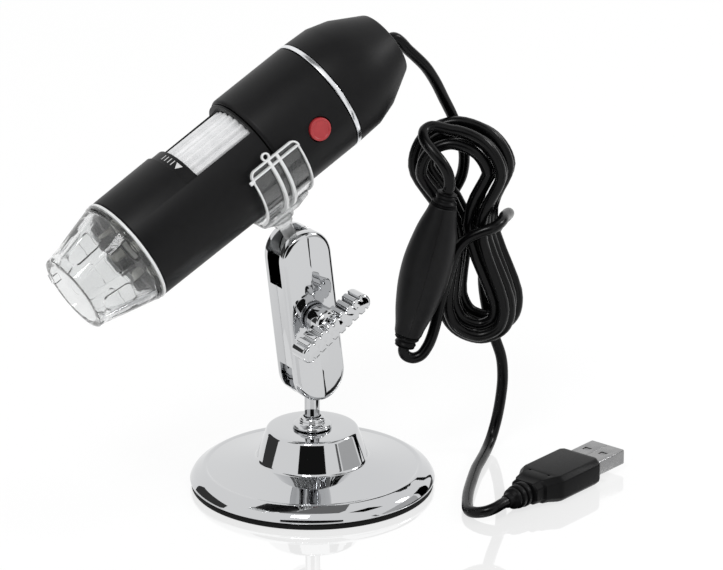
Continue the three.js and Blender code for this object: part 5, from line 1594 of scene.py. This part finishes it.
@dataclass
class Plug:
    """The moulded plug that lies on the floor at the lead's end."""

    lift: float = 0.3
    length: float = 27.0
    height: float = 8.0
    corner: float = 1.5
    pit_at: float = 7.2
    pit_side: float = 3.4
    pit_radius: float = 0.4
    pit_depth: float = 0.5
    relief_length: float = 8.0
    body_levels: tuple[Point, ...] = (
        (8.6, 6.0, 0), (9.3, 6.5, 0.4), (9.8, 6.8, 3.0), (11.4, 7.1, 3.5), (12.2, 7.4, 5.4),
        (15.2, 7.9, 8.0), (16.0, 8.0, 9.2), (16.0, 8.0, 25.4), (14.8, 7.8, 26.5), (13.8, 7.3, 27.0),
    )  # fmt: skip
    relief_rings: tuple[Point, ...] = (
        (0, 0), (3.7, 0), (3.7, 0.2), (2.9, 0.22), (2.9, 0.26), (3.5, 0.28), (3.45, 0.46), (2.7, 0.48),
        (2.7, 0.52), (3.2, 0.54), (3.05, 0.68), (2.1, 0.78), (1.95, 1), (0, 1),
    )  # fmt: skip
    shell_length: float = 13.0
    shell_width: float = 12.0
    shell_height: float = 4.5
    shell_wall: float = 0.4
    shell_seat: float = 5.0
    hole_width: float = 2.3
    hole_length: float = 1.9
    hole_side: float = 2.9
    hole_from_end: float = 6.2
    tab_share: float = 0.8

    def build(self, lead: Lead) -> list[Piece]:
        """Makes the plug's pieces.

        Args:
            lead: The lead that it ends.

        Returns:
            The pieces.
        """
        last, (x, y, z) = LOWER_ROUTE[-2:]
        heading = math.atan2(y - last[1], x - last[0])
        reach = 2 * CLEARANCE + self.relief_length
        middle = self.lift + self.height / 2
        place = Matrix.Translation((x + reach * math.cos(heading), y + reach * math.sin(heading), middle))
        host = Host(lead.place() @ place @ rotation(math.degrees(heading), "Z"), "barrel")
        body = lofted([(chamfered_box(w, h, self.corner), at) for w, h, at in self.body_levels], Along.X)
        pit = rod(self.pit_radius, self.height / 2 - self.pit_depth, self.height)
        pits = [shifted(pit, self.pit_at, side) for side in (-self.pit_side, self.pit_side)]
        wide, high, twice = self.shell_width, self.shell_height, 2 * self.shell_wall
        seat = block(2 * self.shell_seat, wide + 0.3, high + 0.3, self.length)
        start, end = self.length - self.shell_seat + CLEARANCE, self.length + self.shell_length
        inside = block(end - start + 2, wide - twice, high - twice, (start + end) / 2)
        outside = lofted([(rounded_box(wide, high, 0.5), at) for at in (start, end)], Along.X)
        long, broad = self.hole_length, self.hole_width
        sides = (-self.hole_side, self.hole_side)
        holes = [block(long, broad, 2 * high, end - self.hole_from_end, side) for side in sides]
        seam = block(self.shell_length, 0.1, 0.2, end - self.shell_length / 2 + 1, 0, high / 2)
        tab = (long * self.tab_share, broad * self.tab_share, 0.2, end - self.hole_from_end + 0.2)
        low_tab, high_tab = [block(*tab, side, high / 2 - 0.3) for side in sides]
        relief_side = [(radius, self.relief_length * share, 0.3) for radius, share in self.relief_rings]
        relief = turned(relief_side, segments=MEDIUM)
        relief = shifted(rolled(relief, -90, "Y"), x=-CLEARANCE, z=z - middle)
        openings = cut(inside, *holes, seam)
        pieces = [
            host.make("plug_body", body, OVERMOULD, "body_black", cut(seat, *pits), bevel=0.15, smooth=24),
            host.make("plug_shell", outside, NICKEL, "steel", openings, bevel=0.06, smooth=30),
            host.make("plug_relief", relief, OVERMOULD, "lead_rubber"),
            host.make("shell_tabs", low_tab, NICKEL, "steel", add(high_tab), bevel=0.05, replaces=()),
        ]
        dressed(INSULATOR, "tongue_plastic", "plug_tongue")
        contacts = [f"plug_contact_{i}" for i in range(1, 5)]
        dressed(GOLD, "contact_metal", *contacts)
        return pieces + [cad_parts[name] for name in ("plug_tongue", *contacts)]


# The studio


def emptied(owner: bpy.types.Material | bpy.types.World) -> Tree:
    """The node tree of a material or a world, in use and empty."""
    owner.use_nodes = True
    owner.node_tree.nodes.clear()
    return owner.node_tree


def seen_straight(tree: Tree) -> Socket:
    """One for what the camera sees, also in a mirror or through glass, and zero for the rest."""
    path = add_node(tree, "ShaderNodeLightPath").outputs
    seen = path["Is Camera Ray"]
    for kind in ("Is Glossy Ray", "Is Transmission Ray"):
        seen = add_node(tree, "ShaderNodeMath", {"operation": "MAXIMUM"}, {0: seen, 1: path[kind]}).outputs[0]
    return seen


def sheet(name: str, lower: float, upper: float, height: float) -> bpy.types.Mesh:
    """One flat face about the origin, by half the widths of its two edges and half its height."""
    mesh = bpy.data.meshes.new(name)
    points = [(-lower, -height, 0), (lower, -height, 0), (upper, height, 0), (-upper, height, 0)]
    mesh.from_pydata(points, [], [(0, 1, 2, 3)])
    return mesh


@dataclass
class Studio:
    """A white sheet, soft lamps, cards that the chrome mirrors and the camera, all off the object."""

    camera_at: tuple[float, float, float] = (-648.0, -1035.7, 505.9)
    aim: tuple[float, float, float] = (12.02, -7.71, 61.31)
    lens: float = 225.9
    sensor: float = 36.0
    floor_reach: float = 6.0
    ambient: float = 0.6
    sheet_level: float = 1.02
    mirror_share: float = 0.18
    mirror_near: float = 0.05
    mirror_far: float = 0.17
    shadow_share: float = 0.12

    def aimed(self, thing: Piece, place: Point, axis: str) -> None:
        """Stands a thing at a place in metres and turns one of its axes to the aim."""
        thing.location = place
        thing.rotation_mode = "QUATERNION"
        thing.rotation_quaternion = (Vector(self.aim) * MM - Vector(place)).to_track_quat(axis, "Y")

    def camera(self) -> None:
        """Sets the camera where the photograph was taken from."""
        data = bpy.data.cameras.new("camera")
        data.lens, data.sensor_width = self.lens, self.sensor
        data.clip_start, data.clip_end = 0.05, 20
        camera = linked("camera", data)
        self.aimed(camera, Vector(self.camera_at) * MM, "-Z")
        bpy.context.scene.camera = camera

    def world(self) -> None:
        """A world that is white to the camera, to mirrors and through glass, and a soft fill otherwise."""
        world = bpy.data.worlds.new("studio")
        bpy.context.scene.world = world
        tree = emptied(world)
        range_to = {"To Min": self.ambient, "To Max": 1.0}
        level = add_node(tree, "ShaderNodeMapRange", range_to, {"Value": seen_straight(tree)})
        light = add_node(tree, "ShaderNodeBackground", {"Color": WHITE}, {"Strength": level.outputs[0]})
        add_node(tree, "ShaderNodeOutputWorld", {}, {"Surface": light.outputs[0]})

    def floor(self) -> None:
        """A glossy white sheet, with a soft shadow and a faint mirror image that fades outwards."""
        floor = linked("floor", sheet("floor", self.floor_reach, self.floor_reach, self.floor_reach))
        paper = bpy.data.materials.new("glossy_white_acrylic")
        tree = emptied(paper)
        seen = seen_straight(tree)
        white = add_node(tree, "ShaderNodeEmission", {"Color": WHITE, "Strength": self.sheet_level})
        lit = add_node(tree, "ShaderNodeBsdfDiffuse", {"Color": WHITE})
        mirror = add_node(tree, "ShaderNodeBsdfGlossy", {"Color": WHITE, "Roughness": 0.02})
        links = {1: white.outputs[0], 2: lit.outputs[0]}
        base = add_node(tree, "ShaderNodeMixShader", {0: self.shadow_share}, links)
        spot = add_node(tree, "ShaderNodeNewGeometry")
        away = add_node(tree, "ShaderNodeVectorMath", {"operation": "LENGTH"}, {0: spot.outputs["Position"]})
        fade = {"From Min": self.mirror_near, "From Max": self.mirror_far, "To Min": self.mirror_share}
        fade["To Max"] = 0.0
        share = add_node(tree, "ShaderNodeMapRange", fade, {"Value": away.outputs["Value"]})
        links = {0: share.outputs[0], 1: base.outputs[0], 2: mirror.outputs[0]}
        shown = add_node(tree, "ShaderNodeMixShader", {}, links)
        mix = add_node(tree, "ShaderNodeMixShader", {}, {0: seen, 1: lit.outputs[0], 2: shown.outputs[0]})
        add_node(tree, "ShaderNodeOutputMaterial", {}, {"Surface": mix.outputs[0]})
        floor.data.materials.append(paper)

    def lamp(self, name: str, place: Point, size: float, watts: float) -> None:
        """A square soft lamp that points at the object.

        Args:
            name: The lamp's name.
            place: Where it stands, in metres.
            size: Its side, in metres.
            watts: Its power.
        """
        data = bpy.data.lights.new(name, "AREA")
        data.size, data.energy = size, watts
        self.aimed(linked(name, data), place, "-Z")

    def card(
        self, name: str, middle: Point, size: Point, grey: float, lies: float | None = None, near: float = 1.0
    ) -> None:
        """A matt card that only mirrors see, from its front, as a photographer stands round chrome.

        Args:
            name: The card's name.
            middle: Its centre, in metres.
            size: Its width and height, in metres.
            grey: How bright a mirror shows it, from black at zero to the backdrop's white at one.
            lies: The way that its height runs, in degrees from X, where it lies face up. Without it, the card
                faces the object.
            near: The width of its lower edge, as a share of its upper one.
        """
        width, height = size[0] / 2, size[1] / 2
        card = linked(name, sheet(name, width * near, width, height))
        self.aimed(card, middle, "Z")
        if lies is not None:
            card.rotation_quaternion = rotation(lies - 90, "Z").to_quaternion()
        felt = bpy.data.materials.new(name)
        tree = emptied(felt)
        side = add_node(tree, "ShaderNodeNewGeometry")
        front = add_node(tree, "ShaderNodeEmission", {"Color": WHITE, "Strength": grey})
        back = add_node(tree, "ShaderNodeBsdfTransparent")
        links = {0: side.outputs["Backfacing"], 1: front.outputs[0], 2: back.outputs[0]}
        mix = add_node(tree, "ShaderNodeMixShader", {}, links)
        add_node(tree, "ShaderNodeOutputMaterial", {}, {"Surface": mix.outputs[0]})
        card.data.materials.append(felt)
        card.visible_camera = card.visible_diffuse = card.visible_transmission = False
        card.visible_shadow = card.visible_volume_scatter = False

    def round_about(self, degrees: float, distance: float, height: float) -> Point:
        """A place round the object, by its angle to the right of the camera, its distance and its height."""
        camera = Vector(self.camera_at) - Vector(self.aim)
        towards = math.atan2(camera.y, camera.x) + math.radians(degrees)
        return distance * math.cos(towards), distance * math.sin(towards), height

    def cards(self) -> None:
        """Sets the cards that draw the dark lines and panels in the chrome."""
        self.card("card_camera_side", self.round_about(0, 0.7, 0.22), (0.76, 0.5), 0.01)
        self.card("card_left", self.round_about(-110, 0.7, 0.16), (0.56, 0.36), 0.05)
        self.card("card_right", self.round_about(89, 0.7, 0.16), (0.6, 0.3), 0.55)
        self.card("card_right_line", self.round_about(60, 0.72, 0.16), (0.06, 0.36), 0.15)
        self.card("card_right_end", self.round_about(124, 0.72, 0.16), (0.2, 0.36), 0.0)
        self.card("card_overhead", self.round_about(-90, 0.03, 1.05), (0.5, 0.66), 0.2)
        self.card("card_high_right", self.round_about(75, 0.42, 0.62), (0.26, 0.2), 0.0)
        self.card("card_floor_far", self.round_about(66, 0.3, 0.0004), (0.07, 0.236), 0.0, -57.0, 0.45)
        self.card("card_floor_near", self.round_about(66, 0.075, 0.0004), (0.02, 0.07), 0.0, -57.0, 0.4)

    def build(self) -> None:
        """Sets up the studio."""
        self.camera()
        self.world()
        self.floor()
        self.lamp("key_lamp", (-0.75, -0.7, 1.35), 0.36, 8.0)
        self.lamp("side_lamp", (1.1, -0.35, 0.75), 0.25, 3.6)
        self.cards()
        bpy.context.scene.view_settings.view_transform = "Standard"


def main() -> None:
    """Builds the studio and then every sub-assembly round the frame."""
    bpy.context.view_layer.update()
    Studio().build()
    lead = Lead()
    curves = lead.build()
    log.info("lead built")
    control = InlineControl().build(lead)
    plug = Plug().build(lead)
    lead.declare()
    log.info("control and plug built")
    Stand().build()
    Arm().build()
    log.info("stand and arm built")
    Clip().build()
    Barrel().build()
    log.info("clip and barrel built")


if __name__ == "__main__":
    main()
